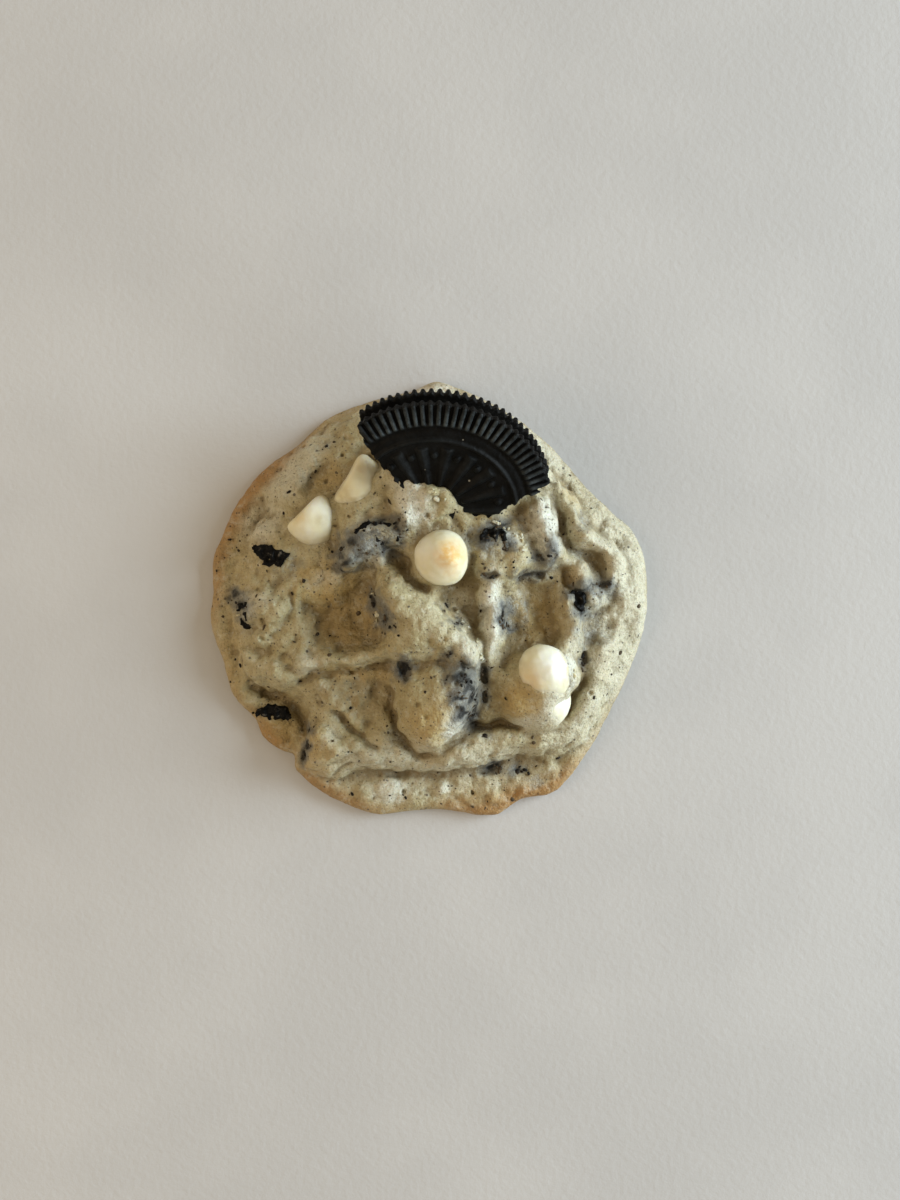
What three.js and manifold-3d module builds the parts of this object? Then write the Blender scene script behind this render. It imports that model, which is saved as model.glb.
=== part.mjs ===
// A thick cookies and cream cookie: one lump of baked dough with folds and hollows, five white chips, a
// broken piece of dark sandwich biscuit standing up at the back, and loose chunks of the same biscuit sunk
// in the top. Units are millimetres. +Z is up, +Y is the side where the sandwich biscuit stands, and the
// underside is at z = 0.

import * as THREE from "three";
import { mergeVertices } from "three/addons/utils/BufferGeometryUtils.js";
import Module from "manifold-3d";

const wasm = await Module();
wasm.setup();

// ----------------------------------------------------------------------------------- driving sizes

const CLEARANCE = 0.3; // gap between a piece and the dough or the piece beside it

// The cookie's outline on the table, and the edge of the thick body that stands on the thin skirt.
// Each pair is an angle in degrees, counterclockwise from +X, and the radius there.
const OUTLINE = [
  [0, 43.6], [15, 43.4], [21, 41.9], [25, 40.1], [36, 38.3], [53, 38.9], [68, 40.3], [79, 41.7], [88, 43.1],
  [95, 41.2], [106, 40.8], [120, 40.9], [131, 40.0], [140, 41.2], [149, 42.2], [163, 42.9], [170, 43.5],
  [178, 43.0], [187, 43.6], [197, 42.7], [206, 43.4], [215, 42.1], [220, 42.9], [226, 42.2], [229.5, 41.2],
  [232, 43.0], [236, 43.7], [243, 44.1], [257, 44.2], [265, 42.6], [274, 42.2], [287, 45.1], [295, 44.2],
  [303, 46.0], [314, 44.4], [330, 42.5], [345, 42.8],
];
const BODY_EDGE = [
  [0, 42.6], [20, 41.2], [40, 37.3], [60, 38.6], [88, 40.6], [120, 39.4], [140, 39], [157, 37.2],
  [172, 38.8], [185, 39.7], [203, 39.2], [214, 35.4], [224, 33.8], [231, 40.4], [238, 42], [247, 38.4],
  [258, 35.6], [272, 34.6], [288, 36], [300, 37.4], [312, 41.6], [330, 41.8],
];
const SKIRT_HEIGHT = 3.3;
const SKIRT_EDGE_HEIGHT = 1.1; // where the rim's round edge is widest
const SKIRT_ROUNDING = 2.4;
const SHOULDER_FOOT = 3.2;
const SHOULDER_HEIGHT = 5.6;
const SHOULDER_WIDTH = 10;
const CROWN_HEIGHT = 3.4; // rise from the shoulder to the middle
const CROWN_RADIUS = 36;

// Areas that stand above or lie below the mound: [lift, width of the rounded edge, outline].
const AREAS = [
  // high ground in the middle, with cliffs to the left and the right
  [2.9, 2.6, [[-19.2, 19.6], [-18.6, 15.0], [-18.2, 10.5], [-18.0, 6.4], [-15.3, 4.6], [-12.4, 5.8],
        [-10.2, 5.6], [-10.1, 1.8], [-9.4, -2.0], [-8.8, -6.0], [-9.4, -10.8], [-7.0, -13.6],
        [-7.3, -17.0], [-7.2, -20.0], [-6.0, -23.6], [-4.4, -27.2], [-1.8, -29.8], [1.2, -29.8],
        [5.0, -27.3], [8.6, -24.5], [9.8, -20.0], [10.4, -15.0], [10.6, -11.3], [11.0, -8.6],
        [8.2, -6.6], [5.5, -4.3], [3.8, -1.2], [3.4, 1.2], [5.6, 3.4], [8.6, 3.6], [10.2, 2.0],
        [10.4, -1.6], [10.2, -5.0], [10.8, -8.4], [11.2, -12.8], [13.0, -13.0], [13.9, -9.6],
        [14.2, -6.6], [13.4, -3.6], [13.9, -0.4], [15.4, 2.6], [18.6, 3.2], [21.4, 4.6], [24.6, 5.4],
        [26.6, 8.4], [26.2, 11.6], [25.6, 15.4], [24.4, 19.0], [22.0, 25.0], [14.0, 31.0],
        [4.0, 34.0], [-6.0, 32.0], [-12.0, 26.0], [-15.0, 22.5]]],
  // hump before the biscuit, and its bright crest
  [2.8, 4.2, [[-12.6, 23.4], [-17.0, 18.4], [-16.5, 16.0], [-11, 15.2], [-6, 14.8], [-4.6, 11.5],
        [-2, 12.2], [1, 13.4], [4.0, 14.6], [5.2, 16.4], [5.0, 21], [3, 26], [-4, 27], [-10, 25]]],
  [2.8, 3.0, [[-9.4, 24.5], [-7.6, 21], [-7, 17.5], [-6.2, 13.6], [-4.8, 10.4], [-2.8, 11.6], [-0.8, 14.6],
        [0.4, 17.0], [2.0, 19.4], [1.8, 25], [-4, 27]]],
  // dough that leans against the foot of the biscuit
  [1.8, 2.2, [[-1, 12.8], [2.4, 13], [5.6, 13.8], [8, 14.4], [7.4, 16.6], [5.6, 19.6], [3.4, 22], [-2, 22]]],
  // grey mass over a covered chunk
  [2.6, 2.6, [[-18, 8.6], [-16.8, 12.2], [-13.6, 14], [-10, 15], [-5, 14.4], [-4.4, 10.6], [-6.2, 9.4],
        [-8.4, 8.8], [-7.6, 5.2], [-9.6, 4.8], [-12.4, 6], [-15.3, 4.7], [-17.6, 6.1]]],
  // trench left of the middle chip
  [-4.2, 2.0, [[-8.6, 9.0], [-5.2, 9.8], [-3.4, 8.4], [-2.6, 5.0], [-0.4, 3.4], [1.6, 2.2], [-0.6, 0.8],
        [-4.0, 2.8], [-6.6, 4.6], [-8.0, 5.0]]],
  // spine
  [4.2, 3.4, [[-9.8, 5.2], [-7, 4.6], [-3.6, 2.4], [-1, 1], [1.6, 1.4], [3.2, 0.8], [3.4, -1.6],
        [5.4, -4.6], [8.2, -7], [10.9, -8.8], [10.4, -13], [6, -13.4], [2, -12], [-2, -12],
        [-4.2, -12.4], [-8.6, -11.6], [-9.2, -9], [-8.8, -4], [-9.8, 0]]],
  // lump under the spine
  [4.6, 4.4, [[-6.8, -17.0], [-4.2, -14.4], [-1.4, -12.8], [2.6, -12.0], [6.6, -12.8], [10.0, -14.2],
        [9.6, -20.0], [8.4, -24.4], [4.8, -27.2], [1.0, -29.6], [-1.8, -29.6], [-4.3, -27.0],
        [-5.9, -23.4], [-7.0, -19.6]]],
  // dip between the spine and the ridge right of it
  [-2.8, 2.4, [[3.6, 1.2], [5.6, 3.4], [9.6, 3], [10.2, -0.6], [10, -5], [9, -7], [6.4, -5], [4.2, -2]]],
  // mass right of the middle chip, its lobe, and the hollow behind it
  [2.6, 3.0, [[8, 5], [8.4, 9.5], [9.8, 12.5], [13.4, 14.2], [16, 13], [18.4, 11], [19.6, 8.6],
        [19.4, 5.4], [17.6, 3.6], [15.6, 3.2], [14.6, 4.8], [13, 4], [10.8, 3.6]]],
  [1.7, 2.2, [[14.8, 8], [15.2, 4.4], [16.6, 3], [19, 4.6], [19.9, 7], [18.8, 9.6], [16.6, 10]]],
  [-2.6, 2.2, [[14.5, 16.5], [18, 18.6], [20, 15], [20, 11.6], [18, 11.4], [16, 13.2], [14, 14]]],
  // pale mass further right
  [3.2, 2.6, [[19.6, 19.6], [23.6, 18.6], [25.2, 15], [25.6, 11], [26, 8], [24, 5.4], [21.4, 4.8],
        [20.2, 8], [20.2, 11], [20.6, 14], [19.2, 17]]],
  // inner side of the right fold, and the dips beside it
  [-2.4, 2.4, [[28.4, 9.6], [33, 9], [35, 6], [35.2, 2.8], [33.4, 3.2], [30.4, 5.4], [27.8, 8.4]]],
  [-2.2, 1.6, [[25, 6.6], [27.4, 5.8], [29.2, 3.6], [28.6, 1.6], [25.8, 2.6]]],
  [2.6, 1.8, [[30.4, 1.6], [33, 2.4], [34.8, 1], [34.2, -1.6], [31.8, -2.6], [30, -1]]],
  [-2.4, 3.0, [[28.6, -2.6], [33, -4], [36, -3], [36.4, -8], [33, -10.4], [29.4, -10], [28.8, -6]]],
  // basin in the right, and the mass below it that holds the right chip
  [-3.2, 3.6, [[14.6, 2.2], [20.0, 3.6], [25.4, 4.6], [27.0, 1.0], [26.4, -3.0], [26.0, -8.0],
        [21.0, -9.0], [16.4, -11.4], [13.8, -9.6], [14.4, -4.0]]],
  [2.6, 3.2, [[13, -13], [17, -10.4], [22, -9], [27, -8.6], [29.8, -12], [28.6, -16.4], [26.9, -18.6],
        [26.6, -21.4], [24.6, -23.8], [20.4, -24.9], [17, -24.2], [13.4, -23.4], [10, -23.6],
        [9.6, -18], [10.4, -13.6]]],
  // hollow in the left, and the covered chip in it
  [-3.6, 4.2, [[-25.2, 3.0], [-22.0, 5.4], [-15.6, 4.8], [-10.4, 5.6], [-9.4, -2.0], [-9.0, -9.6],
        [-14.0, -10.2], [-20.4, -10.8], [-24.6, -7.0]]],
  [3.0, 4.2, [[-25.6, 2.4], [-23.4, 5.4], [-19, 6.2], [-15, 4.8], [-14.2, 0.6], [-16.6, -2.2], [-21.4, -3],
        [-25, -0.8]]],
  // hollow between the two left chips
  [-2.2, 2.8, [[-25, 21.4], [-21, 26], [-16.6, 27.4], [-18.4, 21.6], [-20.6, 20], [-24, 18.4]]],
  // lumps and hollow by the left edge
  [1.7, 2.4, [[-34.4, 11.4], [-33.6, 15.6], [-30, 16.4], [-27.6, 13.6], [-27, 11], [-30, 10.4]]],
  [-2.2, 2.6, [[-34.6, 2.4], [-33.8, 7], [-28, 5.2], [-25.6, 6], [-26, 2.8], [-30, 1.4]]],
  [2.6, 2.2, [[-36.6, 1.2], [-31, 1.4], [-26.4, 1.4], [-26, -2], [-28.6, -4.6], [-31.6, -5], [-33.6, -3],
        [-36, -1]]],
  [1.4, 1.4, [[-37, -1.8], [-34.4, -0.8], [-33.2, -3.6], [-34.2, -6.2], [-36.6, -6], [-37.2, -4]]],
  [2.4, 2.0, [[-34.8, -7.4], [-32.6, -5.8], [-30.2, -6.6], [-30, -9.2], [-32.4, -10.2], [-34.4, -9.4]]],
  [2.8, 2.2, [[-25.6, -11.4], [-23.4, -10.2], [-20.6, -11.2], [-20.2, -14], [-22.4, -15.2],
        [-25.4, -14.6]]],
  [2.4, 3.4, [[-36.6, -9.6], [-33, -10.6], [-28.4, -10.6], [-25.2, -14.8], [-25.8, -16.8], [-28, -18.2],
        [-31.4, -18.6], [-36, -17.6], [-38, -14]]],
  // slack between the ledge, the lump and the lower ring
  [-1.7, 3.6, [[-21, -14.6], [-14, -14.4], [-7.6, -14], [-7.6, -19], [-5.6, -25], [-3.4, -29.4], [-9, -29],
        [-14, -27], [-18.6, -22]]],
  // lobe at the lower left
  [3.2, 3.0, [[-23.2, -25.2], [-20.4, -24], [-17.2, -24.8], [-15.6, -28.4], [-16.4, -32], [-20, -34.8],
        [-24.4, -34], [-24.8, -30]]],
];

// Rolls of dough along a line: [lift, half width, points].
const RIDGES = [
  [1.0, 2.2, [[-9.4, 21.8], [-5.0, 22.6], [-1.8, 20.8], [2.0, 19.6], [4.0, 17.4]]],
  [0.9, 2.4, [[1.8, 21.0], [3.8, 19.2], [5.4, 17.0], [7.0, 15.4]]],
  [1.2, 3.8, [[-6, 1.8], [-2.6, -1.8], [2.0, -4.6], [5.6, -7.6], [8.2, -9.8], [8.6, -12]]],
  [1.3, 4.0, [[7.6, -13.4], [6.9, -18], [6, -23], [2.4, -27]]],
  [2.4, 2.6, [[11.6, 3.5], [12, 0], [11.9, -4], [12.3, -7.5], [11.9, -12]]],
  [1.5, 2.4, [[14.8, 4.6], [16.6, 1.4], [17.8, -2], [18.2, -5]]],
  [2.7, 2.4, [[22.0, 23.5], [25, 20.6], [27.2, 17.6], [28.8, 14.8], [30.4, 12.6]]],
  [3.0, 2.5, [[28, 11.6], [31.6, 10.8], [34.6, 9], [36, 6], [36.2, 3]]],
  [2.4, 1.9, [[25.6, 8.6], [27.8, 6.6], [29.6, 4.4], [30, 2.8]]],
  [1.5, 2.2, [[36, 14], [39.4, 12], [40.6, 8], [41.2, 2], [41.2, -6]]],
  [0.8, 1.4, [[37, 9.4], [38.6, 5.6], [39, 1], [38.4, -3]]],
  [2.5, 3.2, [[26.2, -0.6], [27, -4], [27, -8.4], [27.2, -12], [26.8, -16]]],
  [2.2, 3.0, [[15.6, -15.0], [16.2, -18.4], [17.6, -21.6]]],
  [1.4, 1.8, [[25.6, -9.6], [26.6, -12.4], [27.6, -16.2]]],
  [1.9, 4.2, [[3, -31.2], [9, -28.8], [15, -28], [21.5, -28], [27, -25.6], [30.6, -21]]],
  [1.4, 3.2, [[30.6, -21], [33.4, -15], [35, -9]]],
  [1.4, 3.4, [[-15, -30.2], [-10, -31.4], [-3, -31.8], [3, -31.8], [8, -31.2]]],
  [1.6, 4.2, [[-30, 20.5], [-26, 25.5], [-20, 29.8], [-14.6, 32.4]]],
  [2.2, 2.0, [[-9, -10.8], [-13.6, -11.6], [-19.6, -11.9]]],
  [1.1, 2.4, [[-19, -19.4], [-14.6, -21.4], [-12, -24.6], [-8.6, -27.6]]],
  [1.1, 2.2, [[-20, -17], [-15, -18], [-10.6, -21], [-7.6, -24]]],
];

// Creases: [depth, width, points].
const CREASES = [
  [1.6, 2.2, [[25.6, 24], [28, 20.2], [29.9, 16], [31.4, 13.4], [33.6, 11.8]]],
  [1.3, 2.0, [[23, 20.4], [25.6, 16.6], [26.6, 12.2], [26.8, 9]]],
  [0.9, 1.6, [[34.4, 14], [37.6, 12.4], [39.6, 10], [40.8, 6.6]]],
  [0.8, 1.5, [[36.6, 10.6], [38.2, 8], [39.2, 4.6], [39.4, 0]]],
  [1.8, 1.6, [[36.8, 4], [36.2, 0.4], [34.4, -2.6], [31.4, -3.6]]],
  [2.6, 1.8, [[9, -24.8], [13, -23.8], [17, -24.6], [20.4, -25.4], [24.8, -24.4], [27, -21.8], [27.6, -18.6],
        [29.4, -16.4]]],
  [1.0, 1.6, [[12, -33.4], [15, -32], [20, -31], [26, -28.6]]],
  [1.5, 1.7, [[-15.6, -33], [-10, -34.2], [-5, -34.4], [0, -34.2], [6, -34], [11, -33.4]]],
  [1.7, 2.2, [[-7.6, -13.4], [-12, -13.8], [-18, -13.9], [-21, -15.4], [-25, -16.4]]],
  [1.6, 1.6, [[-35.4, -17.8], [-31.6, -19.2], [-28.4, -19], [-26.4, -21.6], [-24, -24.6], [-24, -28],
        [-25, -32]]],
  [1.4, 1.6, [[-20.6, -20.4], [-16.4, -22.4], [-14.2, -25.4], [-11, -28.4], [-7, -30]]],
  [2.2, 1.8, [[-7.4, -18], [-6.4, -22.6], [-5, -27], [-2.6, -30], [1.6, -30.6], [6, -27.8], [9.4, -24.6]]],
];

// White chips: a flat round base, full sides and a blunt tip. Each has the middle of its base, and leans
// by tilt degrees towards a heading. One of 90 or more lies on its side.
const CHIP_SIDES = 14;
const CHIPS = [
  { name: "white_chip_centre", radius: 5.2, height: 8.3, base: [1.9, 7.7, 12.4], tilt: 21, heading: -16 },
  { name: "white_chip_left", radius: 5, height: 8.4, base: [-23.8, 17, 10], tilt: 96, heading: -48 },
  { name: "white_chip_tall", radius: 5.5, height: 9, base: [-15.5, 23.1, 11.3], tilt: 99, heading: -31 },
  { name: "white_chip_right", radius: 5.3, height: 7.4, base: [21.8, -14.5, 11.2], tilt: 14, heading: 50 },
  { name: "white_chip_low_right", radius: 6, height: 8.2, base: [21, -18.9, 7.4], tilt: 20, heading: -62 },
];

// The sandwich biscuit: two ribbed wafers with cream between them. Its broken wedge is held in the front
// wafer's own plane, x across and y up the face, with the disc's centre at the origin.
const WAFER_RADIUS = 22.3;
const WAFER_TEETH = 90;
const TOOTH_DEPTH = 0.5;
const WAFER_THICKNESS = 1.75; // from the rim's front edge to the flat back
const FACE_RISE = 0.55; // the face stands this far in front of the rim
const RELIEF = 0.7; // height of the raised pattern on the face
const HUB_RADIUS = 4.2;
const RAY_COUNT = 18;
const RAY_START = 5.6;
const RAY_END = 13.8;
const RIB_START = 17.2;
const CREAM_THICKNESS = 1.7;
const CREAM_RADIUS = 19.8;
const PIECE_GAP = 0.25;
const BISCUIT_CENTRE = [1.2, 17.0, 15.0];
const BISCUIT_LEAN = 41; // degrees from level, the rim end up
const BISCUIT_TURN = 1.5;
const WEDGE = [
  [-19.0, 33.0], [-14.2, 18.4], [-12.6, 14.0], [-9.6, 9.6], [-6.2, 5.6], [-3.2, 3.2], [0.2, 2.8],
  [1.6, 0.8], [3.0, -2.4], [5.0, -3.6], [8.6, -2.6], [12.4, -0.3], [18.0, 3.8], [21.8, 6.1], [36.0, 15.0],
  [22.0, 36.0],
];

// Chunks of dark biscuit in the dough: an outline seen from above, the height of its top, its thickness,
// and how far it leans, in degrees, towards a heading.
const CHUNKS = [
  { name: "biscuit_chunk_left", top: 9.6, thickness: 3.0, tilt: 20, heading: 185,
    outline: [[-34.8, 10.0], [-30.8, 10.3], [-26.2, 8.6], [-28.4, 5.4], [-31.8, 6.4]] },
  { name: "biscuit_chunk_upper", top: 16.0, thickness: 3.0, tilt: 4, heading: -70,
    outline: [[-14.4, 12.2], [-11.4, 14.4], [-4.9, 14.0], [-5.2, 10.8], [-9.4, 9.2], [-14.0, 8.6]] },
  { name: "biscuit_chunk_edge", top: 4.4, thickness: 2.2, tilt: 6, heading: 200,
    outline: [[-35.6, -22.9], [-31.6, -20.9], [-28.4, -21.0], [-26.2, -24.2], [-30.0, -24.2]] },
  { name: "biscuit_chunk_speckled", top: 7.9, thickness: 3.0, tilt: 38, heading: 185,
    outline: [[-37.6, -1.2], [-34.6, -0.6], [-33.4, -3.8], [-35.0, -6.6], [-37.2, -4.6]] },
  { name: "biscuit_chunk_top", top: 15.8, thickness: 3.0, tilt: 12, heading: 120,
    outline: [[9.4, 10.6], [10.6, 13.2], [14.4, 13.4], [15.2, 10.2], [12.0, 9.4]] },
  { name: "biscuit_chunk_right", top: 11.5, thickness: 3.0, tilt: 14, heading: 60,
    outline: [[27.2, 1.4], [29.9, 2.2], [31.0, 0.4], [29.8, -2.7], [27.8, -1.2]] },
  { name: "biscuit_chunk_lump", top: 16.6, thickness: 2.6, tilt: 47, heading: -20,
    outline: [[6.9, -15.2], [8.9, -15.2], [9.4, -18.0], [8.6, -20.6], [7.4, -21.2], [6.6, -18.0]] },
];

// The largest loose crumbs of dark biscuit on the dough: [x, y, radius].
const CRUMBS = [
  [-37.0, -13.3, 1.0], [-39.2, -16.6, 0.7], [-18.5, -10.7, 0.8], [-21.2, -6.9, 0.8], [-5.5, -6.9, 0.7],
  [-13.4, -3.0, 0.9], [-31.4, -5.7, 0.9], [-19.6, 29.4, 0.9], [-26.8, 20.4, 0.8], [-7.0, 18.0, 0.9],
  [28.0, 24.2, 0.8], [11.0, -26.2, 1.2], [20.4, -28.0, 0.8], [25.6, -31.6, 0.9], [32.0, -19.1, 0.7],
  [34.9, -18.9, 0.8], [37.6, -10.8, 1.0], [41.2, -1.6, 0.8], [21.4, -36.6, 0.9], [16.6, -39.9, 1.0],
  [-22.0, -27.0, 0.9], [-10.3, -1.4, 1.1], [-8.0, -3.9, 1.1], [17.6, -34.3, 0.9], [-23.6, 3.2, 0.8],
  [14.4, -3.2, 1.1],
];

// -------------------------------------------------------------------------------- heights of dough

const radians = THREE.MathUtils.degToRad;

// Reads a table of [angle, radius] pairs at any angle, as one smooth closed curve.
function radiusAt(table, degrees) {
  const angle = THREE.MathUtils.euclideanModulo(degrees - table[0][0], 360) + table[0][0];
  const count = table.length;
  const knot = (i) => {
    const turns = Math.floor(i / count);
    const [a, r] = table[i - turns * count];
    return [a + 360 * turns, r];
  };
  let i = 0;
  while (knot(i + 1)[0] <= angle) i += 1;
  const [before, here, next, after] = [knot(i - 1), knot(i), knot(i + 1), knot(i + 2)];
  const span = next[0] - here[0];
  const t = (angle - here[0]) / span;
  const slopeHere = ((next[1] - before[1]) / (next[0] - before[0])) * span;
  const slopeNext = ((after[1] - here[1]) / (after[0] - here[0])) * span;
  const bend = t * t * (3 - 2 * t);
  return (
    here[1] * (1 - bend) + next[1] * bend + slopeHere * t * (1 - t) ** 2 - slopeNext * t * t * (1 - t)
  );
}

// Rises from 0 to 1 over a width: as a quarter circle, or as the gentler half of a parabola.
function roundStep(distance, width) {
  const t = THREE.MathUtils.clamp(distance / width, 0, 1);
  return Math.sqrt(1 - (1 - t) ** 2);
}

function easyStep(distance, width) {
  const t = THREE.MathUtils.clamp(distance / width, 0, 1);
  return 1 - (1 - t) ** 2;
}

// How far a place is from a line of points.
function lineDistance(x, y, line) {
  let nearest = Infinity;
  for (let i = 0; i + 1 < line.length; i += 1) {
    nearest = Math.min(nearest, sideDistance(x, y, line[i], line[i + 1]));
  }
  return nearest;
}

function sideDistance(x, y, [ax, ay], [bx, by]) {
  const [dx, dy] = [bx - ax, by - ay];
  const t = THREE.MathUtils.clamp(((x - ax) * dx + (y - ay) * dy) / (dx * dx + dy * dy), 0, 1);
  return Math.hypot(x - ax - dx * t, y - ay - dy * t);
}

// The outline with each corner cut off, a quarter of the way along its sides.
function rounded(outline) {
  return outline.flatMap(([ax, ay], i) => {
    const [bx, by] = outline[(i + 1) % outline.length];
    return [
      [0.75 * ax + 0.25 * bx, 0.75 * ay + 0.25 * by],
      [0.25 * ax + 0.75 * bx, 0.25 * ay + 0.75 * by],
    ];
  });
}

// How deep a place lies inside an outline: 0 outside it, and soft where the nearest side changes.
function depthInside(x, y, outline) {
  let inside = false;
  let total = 0;
  outline.forEach((a, i) => {
    const b = outline[(i + 1) % outline.length];
    total += Math.max(sideDistance(x, y, a, b), 0.001) ** -3;
    const crosses = a[1] > y !== b[1] > y && x < a[0] + ((y - a[1]) * (b[0] - a[0])) / (b[1] - a[1]);
    if (crosses) inside = !inside;
  });
  return inside ? total ** (-1 / 3) : 0;
}

// Height of the plain mound: a thin skirt with a round edge, a shoulder, and a crown in the middle.
function moundHeight(x, y) {
  const r = Math.hypot(x, y);
  const angle = THREE.MathUtils.radToDeg(Math.atan2(y, x));
  const toRim = Math.max(radiusAt(OUTLINE, angle) - r, 0);
  const toBody = radiusAt(BODY_EDGE, angle) - r;
  const skirt =
    SKIRT_EDGE_HEIGHT + (SKIRT_HEIGHT - SKIRT_EDGE_HEIGHT) * roundStep(toRim, SKIRT_ROUNDING);
  if (toBody <= 0) return skirt;
  const crown = CROWN_HEIGHT * Math.max(1 - (r / CROWN_RADIUS) ** 2, 0);
  const body = SHOULDER_FOOT + SHOULDER_HEIGHT * easyStep(toBody, SHOULDER_WIDTH) + crown;
  return Math.max(skirt, body);
}

// Moves a place a little, so that no edge in the dough runs straight.
function wander(x, y) {
  return [
    x + 0.4 * Math.sin(0.5 * y + 0.9) + 0.16 * Math.sin(1.15 * y - 0.6 * x + 2.1),
    y + 0.4 * Math.sin(0.46 * x + 2.3) + 0.16 * Math.sin(1.07 * x + 0.7 * y + 0.4),
  ];
}

// Broad, shallow waves over all the dough.
function unevenness(x, y) {
  const broad = Math.sin(0.52 * x + 0.25 * y + 1) * Math.sin(0.47 * y - 0.3 * x + 0.3);
  const fine = Math.sin(1.05 * x - 0.45 * y + 2) * Math.sin(0.95 * y + 0.4 * x + 1.2);
  return 0.28 * broad + 0.12 * fine;
}

const ROUNDED_AREAS = AREAS.map(([lift, edge, outline]) => [lift, edge, rounded(outline)]);

// Height of the dough's top over the table.
function doughHeight(placeX, placeY) {
  let z = moundHeight(placeX, placeY);
  const [x, y] = wander(placeX, placeY);
  for (const [lift, edge, outline] of ROUNDED_AREAS) {
    const inside = Math.min(depthInside(x, y, outline) / edge, 1);
    z += lift * Math.sin((inside * Math.PI) / 2);
  }
  for (const [lift, halfWidth, line] of RIDGES) {
    const near = Math.min(lineDistance(x, y, line) / halfWidth, 1);
    z += lift * Math.cos((near * Math.PI) / 2);
  }
  for (const [depth, width, line] of CREASES) {
    const near = Math.min(lineDistance(x, y, line) / width, 1);
    z -= depth * (1 - near) ** 2;
  }
  return Math.max(z + unevenness(x, y), SKIRT_EDGE_HEIGHT);
}

// ------------------------------------------------------------------------------------------ solids

// Turns a closed three.js geometry into a solid that can be joined and cut.
function solidOf(geometry) {
  const bare = geometry.clone();
  for (const name of Object.keys(bare.attributes)) {
    if (name !== "position") bare.deleteAttribute(name);
  }
  const merged = mergeVertices(bare, 1e-4);
  return new wasm.Manifold(
    new wasm.Mesh({
      numProp: 3,
      vertProperties: merged.attributes.position.array,
      triVerts: new Uint32Array(merged.index.array),
    }),
  );
}

function geometryOf(solid) {
  const mesh = solid.getMesh();
  const geometry = new THREE.BufferGeometry();
  const points = new Float32Array(mesh.numVert * 3);
  for (let i = 0; i < mesh.numVert; i += 1) {
    points.set(mesh.vertProperties.subarray(i * mesh.numProp, i * mesh.numProp + 3), i * 3);
  }
  geometry.setAttribute("position", new THREE.BufferAttribute(points, 3));
  geometry.setIndex(new THREE.BufferAttribute(mesh.triVerts, 1));
  const faceted = geometry.toNonIndexed();
  faceted.computeVertexNormals();
  return faceted;
}

// Keeps the largest body of a cut solid and drops loose scraps.
function largestBody(solid) {
  return solid.decompose().reduce((best, body) => (body.volume() > best.volume() ? body : best));
}

// A solid from rings of points and a closing point at each end. All rings have as many points.
function solidFromRings(first, rings, last) {
  const points = [first, ...rings.flat(), last];
  const size = rings[0].length;
  const triangles = [];
  const at = (ring, k) => 1 + ring * size + (k % size);
  for (let k = 0; k < size; k += 1) {
    triangles.push(0, at(0, k), at(0, k + 1));
    for (let ring = 0; ring + 1 < rings.length; ring += 1) {
      triangles.push(at(ring, k), at(ring + 1, k), at(ring + 1, k + 1));
      triangles.push(at(ring, k), at(ring + 1, k + 1), at(ring, k + 1));
    }
    triangles.push(at(rings.length - 1, k), points.length - 1, at(rings.length - 1, k + 1));
  }
  const geometry = new THREE.BufferGeometry();
  geometry.setAttribute("position", new THREE.Float32BufferAttribute(points.flat(), 3));
  geometry.setIndex(triangles);
  return solidOf(geometry);
}

// Moves a polygon's sides outwards by a distance. Its points run clockwise or counterclockwise.
function grownOutline(points, distance) {
  const side = Math.sign(THREE.ShapeUtils.area(points.map(([x, y]) => new THREE.Vector2(x, y))));
  const normal = (a, b) => {
    const length = Math.hypot(b[0] - a[0], b[1] - a[1]) * side;
    return [(b[1] - a[1]) / length, (a[0] - b[0]) / length];
  };
  return points.map((point, i) => {
    const before = normal(points.at(i - 1), point);
    const after = normal(point, points[(i + 1) % points.length]);
    const reach = distance / (1 + before[0] * after[0] + before[1] * after[1]);
    return [point[0] + (before[0] + after[0]) * reach, point[1] + (before[1] + after[1]) * reach];
  });
}

function slab(outline, lowest, highest) {
  const shape = new THREE.Shape(outline.map(([x, y]) => new THREE.Vector2(x, y)));
  const geometry = new THREE.ExtrudeGeometry(shape, { depth: highest - lowest, bevelEnabled: false });
  geometry.translate(0, 0, lowest);
  return geometry;
}

// --------------------------------------------------------------------------------------- the dough

const DISC_RINGS = 30;
const DISC_INSET = 2.4; // the even triangles end this far from the rim
const RIM_STEPS = [1.2, 0.45, 0.1, 0]; // rings close to the rim, by their distance to it
const UNDERSIDE_INSET = 0.8;

function rimPoint(turn, inset, z) {
  const angle = turn * 2 * Math.PI;
  const r = radiusAt(OUTLINE, turn * 360) - inset;
  const [x, y] = [r * Math.cos(angle), r * Math.sin(angle)];
  return [x, y, z ?? doughHeight(x, y)];
}

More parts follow.
